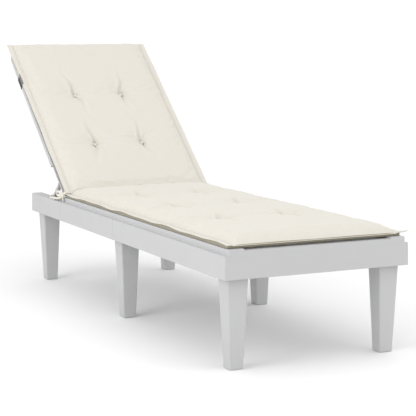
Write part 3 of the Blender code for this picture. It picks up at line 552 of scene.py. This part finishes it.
        # The cover is cut a little larger than its filling, so it wrinkles where it is held.
        loose = rest.copy()
        ripple = np.sin(rest[:, 0] * 95 + 3 * np.sin(rest[:, 1] * 31)) * np.sin(rest[:, 1] * 83 + 1.3)
        loose[:, 2] += (1 - hold) * 0.0011 * ripple
        copy = obj.copy()
        copy.data = obj.data.copy()
        link(copy)
        set_coordinates(copy.data, loose)
        group = copy.vertex_groups.new(name="held")
        for index in np.flatnonzero(hold > 0.5):
            group.add([int(index)], 1.0, "REPLACE")
        cloth = copy.modifiers.new("cloth", "CLOTH")
        settings = cloth.settings
        settings.quality = 5
        settings.mass = 0.3
        settings.tension_stiffness = 12
        settings.compression_stiffness = 12
        settings.shear_stiffness = 4
        settings.bending_stiffness = 0.35
        settings.vertex_group_mass = "held"
        settings.pin_stiffness = 1.0
        settings.use_pressure = True
        settings.uniform_pressure_force = 1.6
        settings.effector_weights.gravity = 0.0
        settings.shrink_min = -0.018
        cloth.collision_settings.use_collision = False
        scene = bpy.context.scene
        for step in range(1, SWELL_FRAMES + 1):
            scene.frame_set(step)
        graph = bpy.context.evaluated_depsgraph_get()
        swollen = coordinates(copy.evaluated_get(graph).to_mesh())
        bpy.data.objects.remove(copy, do_unlink=True)
        scene.frame_set(1)
        move = swollen - rest
        far = np.linalg.norm(move, axis=1, keepdims=True)
        move *= np.minimum(1.0, cap / np.maximum(far, 1e-9))
        set_coordinates(obj.data, rest + move * (1 - hold)[:, None])

    def plan_creases(self):
        """Angle, length, width and depth of each crease that runs out from a button."""
        found = []
        for bu, bv in self.buttons:
            angles = [90, 270]
            rays = [(a + self.random.uniform(-14, 14), self.random.uniform(0.120, 0.160), 0.0056, 0.0100)
                    for a in angles]
            for base in (28, 150, 208, 332, 120, 60):
                rays.append((base + self.random.uniform(-16, 16), self.random.uniform(0.035, 0.065),
                             0.0036, self.random.uniform(0.0038, 0.0062)))
            found.append((bu, bv, rays))
        return found

    def press_creases(self, points, flat, top):
        """Move points down into the creases, the stitched lines and the buttons' pits."""
        u, v = flat[:, 0], flat[:, 1]
        down = np.zeros(len(points))
        for bu, bv, rays in self.creases:
            du, dv = u - bu, v - bv
            far = np.hypot(du, dv)
            for angle, reach, width, depth in rays:
                a = math.radians(angle)
                along = du * math.cos(a) + dv * math.sin(a)
                off = -du * math.sin(a) + dv * math.cos(a)
                off = off + 0.004 * np.sin(along * 60 + angle)
                wide = width * (0.8 + 0.9 * np.clip(along / reach, 0, 1))
                fade = np.clip(along / 0.010, 0, 1) * np.clip(1 - along / reach, 0, 1) ** 1.3
                down += depth * fade * np.exp(-(off / wide) ** 2)
                down -= 0.45 * depth * fade * np.exp(-((off - 2.3 * wide) / (1.3 * wide)) ** 2)
            down += 0.0026 * np.exp(-(far / 0.0085) ** 2)
        side = PAD_HALF - np.abs(u)
        groove = np.exp(-((side - self.pad.border) / 0.0022) ** 2)
        down += 0.0016 * groove
        low_wave = np.sin(u * 17 + 1.0) * np.sin(v * 11 + 0.4) + 0.6 * np.sin(u * 29 + v * 19)
        down += 0.0005 * low_wave * np.clip((side - 0.03) / 0.03, 0, 1)
        points[:, 2] -= down * top
        return points

    def lean(self, points):
        """Lean the end at the fold to the fold's plane."""
        near = self.end - points[:, 1] if self.fold_end > 0 else points[:, 1] - self.start
        share = np.clip(1 - near / 0.040, 0, 1)
        points[:, 1] -= self.fold_end * points[:, 2] * FOLD_LEAN * share
        return points

    def spread(self, points):
        """Let the back section's sides stand out from the seat's, more at the top than at the fold."""
        if self.fold_end < 0:
            share = np.clip(points[:, 1] / self.end, 0, 1)
            left = 0.984 + 0.034 * share
            right = 1.014 + 0.026 * share
            points[:, 0] *= np.where(points[:, 0] < 0, left, right)
        return points

    def make(self, simulate):
        obj = self.blank()
        if simulate:
            self.swell(obj, SWELL_LIMIT)
        rounded = obj.modifiers.new("rounded", "SUBSURF")
        rounded.levels = rounded.render_levels = 1
        obj = evaluated_copy(obj, self.name)
        mesh = obj.data
        points = coordinates(mesh)
        flat = get_attribute(mesh, "flat_place", 3)
        points = self.press_creases(points, flat, get_attribute(mesh, "top"))
        set_coordinates(mesh, self.spread(self.lean(points)))
        return obj


def seat_place():
    return Matrix.Translation((0, 0, SEAT_BOTTOM))


def back_place():
    return BACK_PLACE @ Matrix.Translation((0, 0, BACK_BOTTOM))


def pad_sections():
    seat = Section("seat_section", SEAT_START, FOLD_FOOT_Y - FOLD_GAP, 1, SEAT_BUTTONS, 11)
    back = Section("back_section", FOLD_FOOT_V + FOLD_GAP, BACK_END, -1, BACK_BUTTONS, 23)
    return ((seat, seat_place()), (back, back_place()))


def fold_blend(piece):
    """Bake piece's placement into its mesh."""
    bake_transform(piece)


def surface_of(obj):
    """The surface of obj, for casting rays at it."""
    return BVHTree.FromPolygons([v.co for v in obj.data.vertices], [p.vertices for p in obj.data.polygons])


def join(name, objects):
    """One mesh from several, in the order given."""
    bm = bmesh.new()
    for obj in objects:
        bm.from_mesh(obj.data)
    mesh = bpy.data.meshes.new(name)
    bm.to_mesh(mesh)
    bm.free()
    for slot in objects[0].data.materials:
        mesh.materials.append(slot)
    for obj in objects:
        bpy.data.objects.remove(obj, do_unlink=True)
    mesh.shade_smooth()
    made = link(bpy.data.objects.new(name, mesh))
    return made


# ---- Geometry Nodes -----------------------------------------------------------------
def new_tree(name, inputs):
    """A geometry node tree with a mesh going in and out and the named inputs."""
    tree = bpy.data.node_groups.new(name, "GeometryNodeTree")
    tree.interface.new_socket("Geometry", in_out="INPUT", socket_type="NodeSocketGeometry")
    for label, kind, value in inputs:
        socket = tree.interface.new_socket(label, in_out="INPUT", socket_type=kind)
        if value is not None:
            socket.default_value = value
    tree.interface.new_socket("Geometry", in_out="OUTPUT", socket_type="NodeSocketGeometry")
    start = tree.nodes.new("NodeGroupInput")
    end = tree.nodes.new("NodeGroupOutput")
    return tree, start.outputs, end.inputs


def run_tree(obj, tree, values, name):
    """Give obj the tree with its values set by identifier, and return the plain mesh it makes."""
    modifier = obj.modifiers.new(tree.name, "NODES")
    modifier.node_group = tree
    for item in tree.interface.items_tree:
        if item.item_type == "SOCKET" and item.in_out == "INPUT" and item.name in values:
            modifier[item.identifier] = values[item.name]
    return evaluated_copy(obj, name)


def guide_curve(name, runs):
    """Open poly curves through each run of points."""
    curve = bpy.data.curves.new(name, "CURVE")
    curve.dimensions = "3D"
    for run in runs:
        spline = curve.splines.new("POLY")
        spline.points.add(len(run) - 1)
        for place, p in zip(spline.points, run):
            place.co = (*p, 1)
    return link(bpy.data.objects.new(name, curve))


def stitch_tree():
    """Short rounded stitches laid end to end along a path."""
    tree, inputs, outputs = new_tree("stitches", [
        ("Pitch", "NodeSocketFloat", 0.005), ("Stitch length", "NodeSocketFloat", 0.0034),
        ("Thread radius", "NodeSocketFloat", 0.0005), ("Thread", "NodeSocketMaterial", None),
    ])
    spaced = add_node(tree, "GeometryNodeResampleCurve", [
        ("Curve", inputs["Geometry"]), ("Length", inputs["Pitch"]),
    ], mode="LENGTH")
    tangent = add_node(tree, "GeometryNodeInputTangent")
    aligned = add_node(tree, "FunctionNodeAlignRotationToVector", [("Vector", tangent.outputs[0])], axis="Z")
    bead = add_node(tree, "GeometryNodeMeshUVSphere")
    bead.inputs["Segments"].default_value = 6
    bead.inputs["Rings"].default_value = 4
    bead.inputs["Radius"].default_value = 1.0
    half = add_node(tree, "ShaderNodeMath", [(0, inputs["Stitch length"])], operation="MULTIPLY", in_1=0.5)
    size = add_node(tree, "ShaderNodeCombineXYZ", [
        ("X", inputs["Thread radius"]), ("Y", inputs["Thread radius"]), ("Z", half.outputs[0]),
    ])
    placed = add_node(tree, "GeometryNodeInstanceOnPoints", [
        ("Points", spaced.outputs[0]), ("Instance", bead.outputs["Mesh"]),
        ("Rotation", aligned.outputs[0]), ("Scale", size.outputs[0]),
    ])
    real = add_node(tree, "GeometryNodeRealizeInstances", [("Geometry", placed.outputs[0])])
    painted = add_node(tree, "GeometryNodeSetMaterial", [
        ("Geometry", real.outputs[0]), ("Material", inputs["Thread"]),
    ])
    smooth = add_node(tree, "GeometryNodeSetShadeSmooth", [("Geometry", painted.outputs[0])])
    tree.links.new(smooth.outputs[0], outputs[0])
    return tree


def scatter_tree():
    """One shape set on every point of a mesh, turned by the rotation stored there."""
    tree, inputs, outputs = new_tree("set_on_points", [
        ("Shape", "NodeSocketObject", None), ("Finish", "NodeSocketMaterial", None),
    ])
    shape = add_node(tree, "GeometryNodeObjectInfo", [("Object", inputs["Shape"])])
    turn = add_node(tree, "GeometryNodeInputNamedAttribute", data_type="FLOAT_VECTOR")
    turn.inputs["Name"].default_value = "turn"
    rotation = add_node(tree, "FunctionNodeEulerToRotation", [("Euler", turn.outputs["Attribute"])])
    placed = add_node(tree, "GeometryNodeInstanceOnPoints", [
        ("Points", inputs["Geometry"]), ("Instance", shape.outputs["Geometry"]),
        ("Rotation", rotation.outputs[0]),
    ])
    real = add_node(tree, "GeometryNodeRealizeInstances", [("Geometry", placed.outputs[0])])
    painted = add_node(tree, "GeometryNodeSetMaterial", [
        ("Geometry", real.outputs[0]), ("Material", inputs["Finish"]),
    ])
    tree.links.new(painted.outputs[0], outputs[0])
    return tree


def set_on_points(name, shape, finish, places):
    """A mesh of shape at each place, a (point, Euler turn) pair."""
    base = mesh_from(name + "_points", [p for p, _ in places], [])
    put_attribute(base.data, "turn", [list(t) for _, t in places], "FLOAT_VECTOR")
    made = run_tree(base, scatter_tree(), {"Shape": shape, "Finish": finish}, name)
    bpy.data.objects.remove(shape, do_unlink=True)
    return made


def turned_shape(name, profile, sides=24):
    """A closed solid turned about Z from (radius, height) pairs, bottom first."""
    points, faces, rings = [], [], []
    for radius, height in profile:
        if radius < 1e-7:
            rings.append([len(points)])
            points.append((0, 0, height))
            continue
        ring = []
        for k in range(sides):
            a = 2 * math.pi * k / sides
            ring.append(len(points))
            points.append((radius * math.cos(a), radius * math.sin(a), height))
        rings.append(ring)
    for low, high in zip(rings[:-1], rings[1:]):
        for k in range(sides):
            n = (k + 1) % sides
            if len(low) == 1:
                faces.append((low[0], high[n], high[k]))
            elif len(high) == 1:
                faces.append((low[k], low[n], high[0]))
            else:
                faces.append((low[k], low[n], high[n], high[k]))
    obj = outward(mesh_from(name, points, faces))
    obj.data.set_sharp_from_angle(angle=math.radians(38))
    return obj


# ---- Operators ----------------------------------------------------------------------
LIGHTS = (                          # name, place, side and share of the key's strength
    ("key", (-3.8, -1.4, 2.3), 2.6, 1.0),
    ("fill", (2.4, -3.2, 2.6), 3.0, 0.18),
)
CAMERA_X, CAMERA_Z = -1.7802, 0.8735
CAMERA_BEFORE_HINGE = 4.3565
CAMERA_HEADING, CAMERA_DROP, CAMERA_ROLL = -25.18, 7.32, -0.245   # degrees
CAMERA_LENS = 119.3                 # millimetres, on a 36 mm frame


class LOUNGER_OT_stage(bpy.types.Operator):
    """Make the floor, the soft studio light and the camera"""
    bl_idname = "lounger.stage"
    bl_label = "Stage"

    def execute(self, context):
        settings = context.scene.lounger_stage
        floor = mesh_from("floor", [(-30, -30, 0), (30, -30, 0), (30, 30, 0), (-30, 30, 0)], [(0, 1, 2, 3)],
                          painted_floor(settings.floor), smooth=False)
        world = bpy.data.worlds.new("studio")
        world.use_nodes = True
        self.add_sky(world.node_tree)
        world.node_tree.nodes["Background"].inputs[1].default_value = settings.sky
        context.scene.world = world
        context.scene.view_settings.view_transform = "Standard"
        for name, place, size, share in LIGHTS:
            light = bpy.data.lights.new(name, "AREA")
            light.energy = settings.key * share
            light.size = size
            lamp = link(bpy.data.objects.new(name, light))
            lamp.location = place
            lamp.rotation_euler = (Vector((0, 0, 0.3)) - Vector(place)).to_track_quat("-Z", "Y").to_euler()
        self.add_camera(context)
        return {"FINISHED"}

    def add_sky(self, tree):
        """White all round, dimmer low down at the left so that those faces fall into shade."""
        way = add_node(tree, "ShaderNodeTexCoord").outputs["Generated"]
        apart = add_node(tree, "ShaderNodeSeparateXYZ", [("Vector", way)])
        dim = add_node(tree, "ShaderNodeMapRange", [("Value", apart.outputs["X"])],
                       interpolation_type="SMOOTHSTEP")
        for label, value in (("From Min", -0.75), ("From Max", 0.05), ("To Min", 0.82), ("To Max", 1.0)):
            dim.inputs[label].default_value = value
        tree.links.new(dim.outputs["Result"], tree.nodes["Background"].inputs["Color"])

    def add_camera(self, context):
        """A long lens from the foot end's left, a little above the pad."""
        data = bpy.data.cameras.new("camera")
        data.lens = CAMERA_LENS
        data.sensor_width = 36.0
        data.clip_start, data.clip_end = 0.1, 100.0
        camera = link(bpy.data.objects.new("camera", data))
        camera.rotation_mode = "XYZ"
        camera.location = (CAMERA_X, HINGE.y - CAMERA_BEFORE_HINGE, CAMERA_Z)
        heading = Matrix.Rotation(math.radians(CAMERA_HEADING), 4, "Z")
        drop = Matrix.Rotation(math.radians(90 - CAMERA_DROP), 4, "X")
        roll = Matrix.Rotation(math.radians(CAMERA_ROLL), 4, "Z")
        camera.rotation_euler = (heading @ drop @ roll).to_euler()
        context.scene.camera = camera


class LOUNGER_OT_finishes(bpy.types.Operator):
    """Make the materials and give the moulded and steel pieces theirs"""
    bl_idname = "lounger.finishes"
    bl_label = "Finishes"

    def execute(self, context):
        pad, parts = context.scene.lounger_pad, context.scene.lounger_frame
        plastic = moulded_polypropylene(tuple(parts.plastic))
        steel = zinc_plated_steel(tuple(parts.steel))
        woven_cloth("woven_polyester", tuple(pad.cloth), 1.4 * MM)
        # A darker copy of the cover cloth for the walls and base: painted shade
        woven_cloth("cloth_painted_shade", tuple(pad.wall_painted_shade), 1.4 * MM)
        woven_cloth("spun_thread", tuple(pad.thread), 0.6 * MM, flat_uv=False)
        woven_cloth("woven_tape", tuple(parts.tape), 1.2 * MM, flat_uv=False)
        ribbed_elastic(tuple(parts.elastic), parts.rib)
        for name, node in frame["nodes"].items():
            metal = name.startswith(("leg_screw", "joint_", "hinge_pin", "prop_pin"))
            look = steel if metal else plastic
            for slot in node.material_slots:
                slot.material = look
        return {"FINISHED"}


class LOUNGER_OT_pad(bpy.types.Operator):
    """Make the padded cover in its two sections, with its standing seam"""
    bl_idname = "lounger.pad"
    bl_label = "Pad"

    def execute(self, context):
        made = []
        for section, place in pad_sections():
            obj = section.make(simulate=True)
            set_coordinates(obj.data, apply_matrix(coordinates(obj.data), place))
            made.append(obj)
        pad = join("lounger_pad", made)
        # The second slot is the cover cloth darkened as painted shade
        for index, look in enumerate(("woven_polyester", "cloth_painted_shade")):
            pad.data.materials[index] = material(look)
        fold_blend(pad)
        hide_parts("seat_pad", "back_pad")
        self.add_flange(context)
        return {"FINISHED"}

    def add_flange(self, context):
        """The flat seam that stands out along the top edge of the pad."""
        settings = context.scene.lounger_pad
        pieces = []
        for section, place in pad_sections():
            for side in (-1, 1):
                vs = np.linspace(section.start, section.end, 130)
                us = np.full_like(vs, side * PAD_HALF)
                tops = section.height(us, vs) + EDGE_WAVES[side] * section.edge_wave(side, vs)
                path = section.spread(section.lean(np.stack([us, vs, tops - 0.0004], -1)))
                outs = np.tile((side, 0, 0), (len(vs), 1))
                ups = np.tile((0, 0, 1.0), (len(vs), 1))
                pieces.append(self.strip(path, outs, ups, place, settings))
            far_v = section.start if section.fold_end > 0 else section.end
            us = np.linspace(-PAD_HALF, PAD_HALF, 60)
            vs = np.full_like(us, far_v)
            path = section.spread(np.stack([us, vs, section.height(us, vs) - 0.0004], -1))
            outs = np.tile((0, -section.fold_end, 0), (len(us), 1))
            ups = np.tile((0, 0, 1.0), (len(us), 1))
            pieces.append(self.strip(path, outs, ups, place, settings))
        pieces.append(self.corner_flap(*pad_sections()[0]))
        flange = join("pad_flange", pieces)
        fold_blend(flange)

    def corner_flap(self, section, place):
        """The pointed end of the seam at the seat's right foot corner."""
        start = section.start
        height = float(section.height(np.array([PAD_HALF]), np.array([start]))[0])
        outline = [
            (PAD_HALF - 0.016, start - 0.003), (PAD_HALF + 0.010, start - 0.001),
            (PAD_HALF + 0.027, start + 0.004), (PAD_HALF + 0.012, start + 0.013),
            (PAD_HALF - 0.001, start + 0.030),
        ]
        lifts = (0.0, 0.0004, 0.0022, 0.0010, 0.0)
        count = len(outline)
        points = [(*p, height + lift + half) for half in (0.0006, -0.0008) for p, lift in zip(outline, lifts)]
        faces = [tuple(range(count)), tuple(range(2 * count - 1, count - 1, -1))]
        faces += [(k, k + count, (k + 1) % count + count, (k + 1) % count) for k in range(count)]
        obj = outward(mesh_from("corner_flap", points, faces, material("woven_polyester"), smooth=False))
        flat = coordinates(obj.data)
        put_attribute(obj.data, "flat_place", flat, "FLOAT_VECTOR")
        set_coordinates(obj.data, apply_matrix(flat, place))
        return obj

    def strip(self, path, outs, ups, place, settings):
        obj = sweep("strip", path, outs, ups, ellipse(settings.flange, 0.0007), material("woven_polyester"))
        points = coordinates(obj.data)
        put_attribute(obj.data, "flat_place", points, "FLOAT_VECTOR")
        set_coordinates(obj.data, apply_matrix(points, place))
        return obj


class LOUNGER_OT_stitches(bpy.types.Operator):
    """Sew the stitched lines along both long sides of the pad"""
    bl_idname = "lounger.stitches"
    bl_label = "Stitches"

    def execute(self, context):
        settings = context.scene.lounger_pad
        pad = bpy.data.objects["lounger_pad"]
        surface = surface_of(pad)
        runs = []
        for section, place in pad_sections():
            up = (place.to_3x3() @ Vector((0, 0, 1))).normalized()
            for side in (-1, 1):
                run = []
                vs = np.linspace(section.start + 0.008, section.end - 0.008, 240)
                us = vs * 0 + side * (PAD_HALF - settings.border)
                line = section.spread(np.stack([us, vs, vs * 0 + RAY_HEIGHT], -1))
                for point in line:
                    above = place @ Vector(point)
                    hit = surface.ray_cast(above, -up)[0]
                    if hit is not None:
                        run.append(hit + up * 0.0002)
                runs.append(run)
        guide = guide_curve("stitch_guide", runs)
        stitches = run_tree(guide, stitch_tree(), {
            "Pitch": settings.stitch + settings.stitch_gap, "Stitch length": settings.stitch,
            "Thread radius": 0.00045, "Thread": material("spun_thread"),
        }, "pad_stitches")
        fold_blend(stitches)
        return {"FINISHED"}


class LOUNGER_OT_buttons(bpy.types.Operator):
    """Set the covered buttons into the pad"""
    bl_idname = "lounger.buttons"
    bl_label = "Buttons"

    def execute(self, context):
        pad = bpy.data.objects["lounger_pad"]
        surface = surface_of(pad)
        for (section, place), body, prefix in zip(pad_sections(), ("root", "backrest"), ("seat", "back")):
            up = (place.to_3x3() @ Vector((0, 0, 1))).normalized()
            turn = place.to_euler()
            places = []
            for bu, bv in section.buttons:
                hit = surface.ray_cast(place @ Vector((bu, bv, RAY_HEIGHT)), -up)[0]
                places.append((hit + up * BUTTON_LIFT, turn))
            made = set_on_points(f"{prefix}_buttons", self.shape(context), material("woven_polyester"),
                                 places)
            put_attribute(made.data, "flat_place", apply_matrix(coordinates(made.data), place.inverted()),
                          "FLOAT_VECTOR")
            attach(made, body)
            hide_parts(*[n for n in sorted(frame["nodes"]) if n.startswith(f"{prefix}_button")])
        return {"FINISHED"}

    def shape(self, context):
        """A domed button whose cloth is gathered in small pleats under its rim."""
        r = context.scene.lounger_pad.button
        profile = [(0, -0.0030), (0.72 * r, -0.0030), (0.93 * r, -0.0016), (r, 0.0002), (0.95 * r, 0.0015),
                   (0.80 * r, 0.0026), (0.55 * r, 0.0034), (0.28 * r, 0.0038), (0, 0.0039)]
        shape = turned_shape("button_shape", profile, 28)
        points = coordinates(shape.data)
        angle = np.arctan2(points[:, 1], points[:, 0])
        far = np.hypot(points[:, 0], points[:, 1])
        pleat = 1 + 0.035 * np.cos(angle * 14) * np.clip((far / r - 0.7) / 0.3, 0, 1)
        points[:, 0] *= pleat
        points[:, 1] *= pleat
        set_coordinates(shape.data, points)
        return shape


class LOUNGER_OT_strap(bpy.types.Operator):
    """Make the elastic band that holds the pad to the backrest"""
    bl_idname = "lounger.strap"
    bl_label = "Strap"

    def execute(self, context):
        low, high = in_back("elastic_strap")
        outer, middle = high[0] - 0.0006, (low[1] + high[1]) / 2
        rear, half = low[2] + 0.0006, 0.9 * (high[1] - low[1]) / 2
        left_top, right_top = high[2], high[2] - 0.008
        bend = 0.004
        path, outs = [], []
        for t in np.linspace(0, 1, 9):
            path.append((-outer, middle, left_top + (rear + bend - left_top) * t))
            outs.append((-1, 0, 0))
        for a in np.linspace(0, 90, 7)[1:]:
            c, s = math.cos(math.radians(a)), math.sin(math.radians(a))
            path.append((-outer + bend - bend * c, middle, rear + bend - bend * s))
            outs.append((-c, 0, -s))
        for t in np.linspace(-1, 1, 41)[1:-1]:
            path.append(((outer - bend) * t, middle, rear))
            outs.append((0, 0, -1))
        for a in np.linspace(90, 0, 7):
            c, s = math.cos(math.radians(a)), math.sin(math.radians(a))
            path.append((outer - bend + bend * c, middle, rear + bend - bend * s))
            outs.append((c, 0, -s))
        for t in np.linspace(1, 0, 9)[1:]:
            path.append((outer, middle, right_top + (rear + bend - right_top) * t))
            outs.append((1, 0, 0))
        profile = [
            (-0.00055, -half), (0.00055, -half), (0.00065, -half * 0.9), (0.00055, 0),
            (0.00065, half * 0.9), (0.00055, half), (-0.00055, half),
        ]
        ups = np.tile((0, 1.0, 0), (len(path), 1))
        strap = sweep("elastic_band", path, outs, ups, profile, material("woven_elastic"))
        points = coordinates(strap.data)
        put_attribute(strap.data, "flat_place", points, "FLOAT_VECTOR")
        set_coordinates(strap.data, apply_matrix(points, BACK_PLACE))
        strap.data.set_sharp_from_angle(angle=math.radians(50))
        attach(strap, "backrest")
        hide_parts("elastic_strap")
        return {"FINISHED"}


class LOUNGER_OT_ties(bpy.types.Operator):
    """Make the tied tapes that hold the pad's fold to the hinge lugs"""
    bl_idname = "lounger.ties"
    bl_label = "Ties"

    def execute(self, context):
        for label, side in (("left", -1), ("right", 1)):
            self.tie(label, side)
        return {"FINISHED"}

    def tape(self, points, width, twist):
        """A flat tape through points, standing on edge and turned by twist along its way."""
        path = catmull(points, 8)
        tangents = np.gradient(path, axis=0)
        tangents /= np.linalg.norm(tangents, axis=1, keepdims=True)
        ups, outs = [], []
        for k, t in enumerate(tangents):
            share = k / (len(path) - 1)
            up = np.array((0, 0, 1.0)) - t * t[2]
            if np.linalg.norm(up) < 0.2:
                up = np.array((0, 1.0, 0)) - t * t[1]
            up /= np.linalg.norm(up)
            out = np.cross(t, up)
            a = math.radians(twist[0] + (twist[1] - twist[0]) * share)
            ups.append(up * math.cos(a) + out * math.sin(a))
            outs.append(out * math.cos(a) - up * math.sin(a))
        profile = [(-0.0006, -width / 2), (0.0006, -width / 2), (0.0006, 0), (0.0006, width / 2),
                   (-0.0006, width / 2), (-0.0006, 0)]
        return sweep("tape", path, outs, ups, profile, material("woven_tape"))

    def tie(self, label, side):
        low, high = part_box(f"tie_{label}")
        x = side * (max(abs(low.x), abs(high.x)) + 0.0006)
        knot = np.array((x + side * 0.002, HINGE.y - 0.004, HINGE.z + 0.016))
        y, z = HINGE.y, HINGE.z

        def at(out, along, up):
            return (x + side * out, y + along, z + up)

        inside = [(side * 0.262, y - 0.010, z + 0.027), (side * 0.2655, y - 0.008, z + 0.022), knot]
        bow = [knot, at(0.002, 0.018, 0.022), at(0.001, 0.045, 0.024), at(0.002, 0.060, 0.017),
               at(0.004, 0.046, 0.012), at(0.004, 0.020, 0.012), knot]
        tail = [knot, at(0.002, 0.022, 0.005), at(0.002, 0.055, 0.000), at(0.003, 0.095, -0.002),
                at(0.003, 0.128, -0.0035)]
        stub = [knot, at(0.003, -0.002, 0.004), at(0.002, -0.006, -0.004)]
        pieces = [
            self.tape(inside, 0.010, (0, 10)), self.tape(bow, 0.0088, (0, 14)),
            self.tape(tail, 0.0078, (6, 40)), self.tape(stub, 0.0080, (0, 25)),
        ]
        for ring, tilt in ((0, 20), (1, -35)):
            turn = Matrix.Rotation(math.radians(tilt), 3, "X")
            loop = []
            for a in np.linspace(0, 360, 15):
                c, s = math.cos(math.radians(a)), math.sin(math.radians(a))
                offset = Vector((0.0028 * s * side, 0.0052 * c, 0.0048 * c * (ring - 0.5)))
                loop.append(knot + np.array(turn @ offset))
            pieces.append(self.tape(loop, 0.0070, (0, 40)))
        tie = join(f"fold_tie_{label}", pieces)
        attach(tie, "root")
        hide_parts(f"tie_{label}")


def catmull(points, steps):
    """Points on a smooth curve through the given ones."""
    p = np.array([np.array(q, float) for q in points])
    p = np.concatenate([[2 * p[0] - p[1]], p, [2 * p[-1] - p[-2]]])
    found = []
    for i in range(1, len(p) - 2):
        for k in range(steps):
            t = k / steps
            found.append(0.5 * (2 * p[i] + (p[i + 1] - p[i - 1]) * t
                                + (2 * p[i - 1] - 5 * p[i] + 4 * p[i + 1] - p[i + 2]) * t ** 2
                                + (3 * p[i] - p[i - 1] - 3 * p[i + 1] + p[i + 2]) * t ** 3))
    found.append(p[-2])
    return np.array(found)


class LOUNGER_OT_fasteners(bpy.types.Operator):
    """Make the leg screws and the hinge and prop pins with their recessed or domed heads"""
    bl_idname = "lounger.fasteners"
    bl_label = "Fasteners"

    def execute(self, context):
        groups = (
            ("leg_screws", "leg_screw_", "root", self.screw),
            ("hinge_pins", "hinge_pin_", "root", self.pin),
            ("prop_pins", "prop_pin_", "backrest", self.pin),
        )
        for name, prefix, body, shape in groups:
            nodes = [n for n in sorted(frame["nodes"]) if n.startswith(prefix)]
            places = []
            for node in nodes:
                low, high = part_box(node)
                outward_x = self.head_side(node)
                head = high.x if outward_x > 0 else low.x
                place = (head, (low.y + high.y) / 2, (low.z + high.z) / 2)
                places.append((place, (0, outward_x * math.pi / 2, 0)))
            low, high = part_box(nodes[0])
            one = shape(high.x - low.x, (high.z - low.z) / 2)
            made = set_on_points(name, one, material("zinc_plated_steel"), places)
            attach(made, body)
            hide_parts(*nodes)
        return {"FINISHED"}

    def head_side(self, node):
        """1 where the head is at the high end of X, and -1 where it is at the low end."""
        points = coordinates(frame["nodes"][node].data)
        middle = (points.min(0) + points.max(0)) / 2
        far = np.hypot(points[:, 1] - middle[1], points[:, 2] - middle[2])
        return 1 if points[far > far.max() * 0.98][:, 0].mean() > middle[0] else -1

    def pin(self, long, radius):
        """A domed head on a plain shank, with its top at z = 0."""
        r, s = radius, 0.55 * radius
        profile = [
            (0, -long), (0.8 * s, -long), (s, -long + 0.2 * s), (s, -0.36 * r), (r, -0.36 * r),
            (r, -0.26 * r), (0.93 * r, -0.13 * r), (0.7 * r, -0.03 * r), (0.35 * r, 0), (0, 0),
        ]
        return turned_shape("pin_shape", profile, 28)

    def screw(self, long, radius):
        """A pan head with a cross recess, on a threaded shank."""
        r, s = radius, 0.50 * radius
        turns = 14
        profile = [(0, -long), (0.4 * s, -long + 0.5 * s)]
        for k in range(turns):
            z = -long + 0.5 * s + (long - 0.5 * s - 0.55 * r) * (k + 0.5) / turns
            profile += [(0.80 * s, z), (s, z + 0.0003)]
        profile += [
            (0.8 * s, -0.52 * r), (r, -0.52 * r), (r, -0.30 * r), (0.9 * r, -0.12 * r),
            (0.6 * r, -0.02 * r), (0, 0),
        ]
        shape = turned_shape("screw_shape", profile, 20)
        bm = bmesh.new()
        for wide, deep in ((0.11 * r, 0.95 * r), (0.95 * r, 0.11 * r)):
            size = Matrix.Diagonal((2 * wide * 0.6, 2 * deep * 0.6, 0.6 * r, 1))
            bmesh.ops.create_cube(bm, size=1.0, matrix=size)
        mesh = bpy.data.meshes.new("recess")
        bm.to_mesh(mesh)
        bm.free()
        recess = link(bpy.data.objects.new("recess", mesh))
        cut = shape.modifiers.new("recess", "BOOLEAN")
        cut.operation, cut.object, cut.solver, cut.use_self = "DIFFERENCE", recess, "EXACT", True
        made = evaluated_copy(shape, "screw_shape")
        bpy.data.objects.remove(recess, do_unlink=True)
        return made


class LOUNGER_PT_panel(bpy.types.Panel):
    """Lists the lounger's pieces"""
    bl_idname = "LOUNGER_PT_panel"
    bl_label = "Lounger"
    bl_space_type = "VIEW_3D"
    bl_region_type = "UI"
    bl_category = "Lounger"

    def draw(self, context):
        for group in (context.scene.lounger_pad, context.scene.lounger_frame, context.scene.lounger_stage):
            for name in group.__annotations__:
                self.layout.prop(group, name)
        for operator in OPERATORS:
            self.layout.operator(operator.bl_idname)


OPERATORS = (
    LOUNGER_OT_stage, LOUNGER_OT_finishes, LOUNGER_OT_pad, LOUNGER_OT_stitches, LOUNGER_OT_buttons,
    LOUNGER_OT_strap, LOUNGER_OT_ties, LOUNGER_OT_fasteners,
)
SETTINGS = (
    ("lounger_pad", LoungerPadSettings), ("lounger_frame", LoungerFrameSettings),
    ("lounger_stage", LoungerStageSettings),
)


def register():
    for name, group in SETTINGS:
        bpy.utils.register_class(group)
        setattr(bpy.types.Scene, name, PointerProperty(type=group))
    for made in (*OPERATORS, LOUNGER_PT_panel):
        bpy.utils.register_class(made)


def unregister():
    for made in (LOUNGER_PT_panel, *reversed(OPERATORS)):
        bpy.utils.unregister_class(made)
    for name, group in reversed(SETTINGS):
        delattr(bpy.types.Scene, name)
        bpy.utils.unregister_class(group)


def main():
    register()
    for operator in OPERATORS:
        group, name = operator.bl_idname.split(".")
        getattr(getattr(bpy.ops, group), name)()


if __name__ == "__main__":
    main()
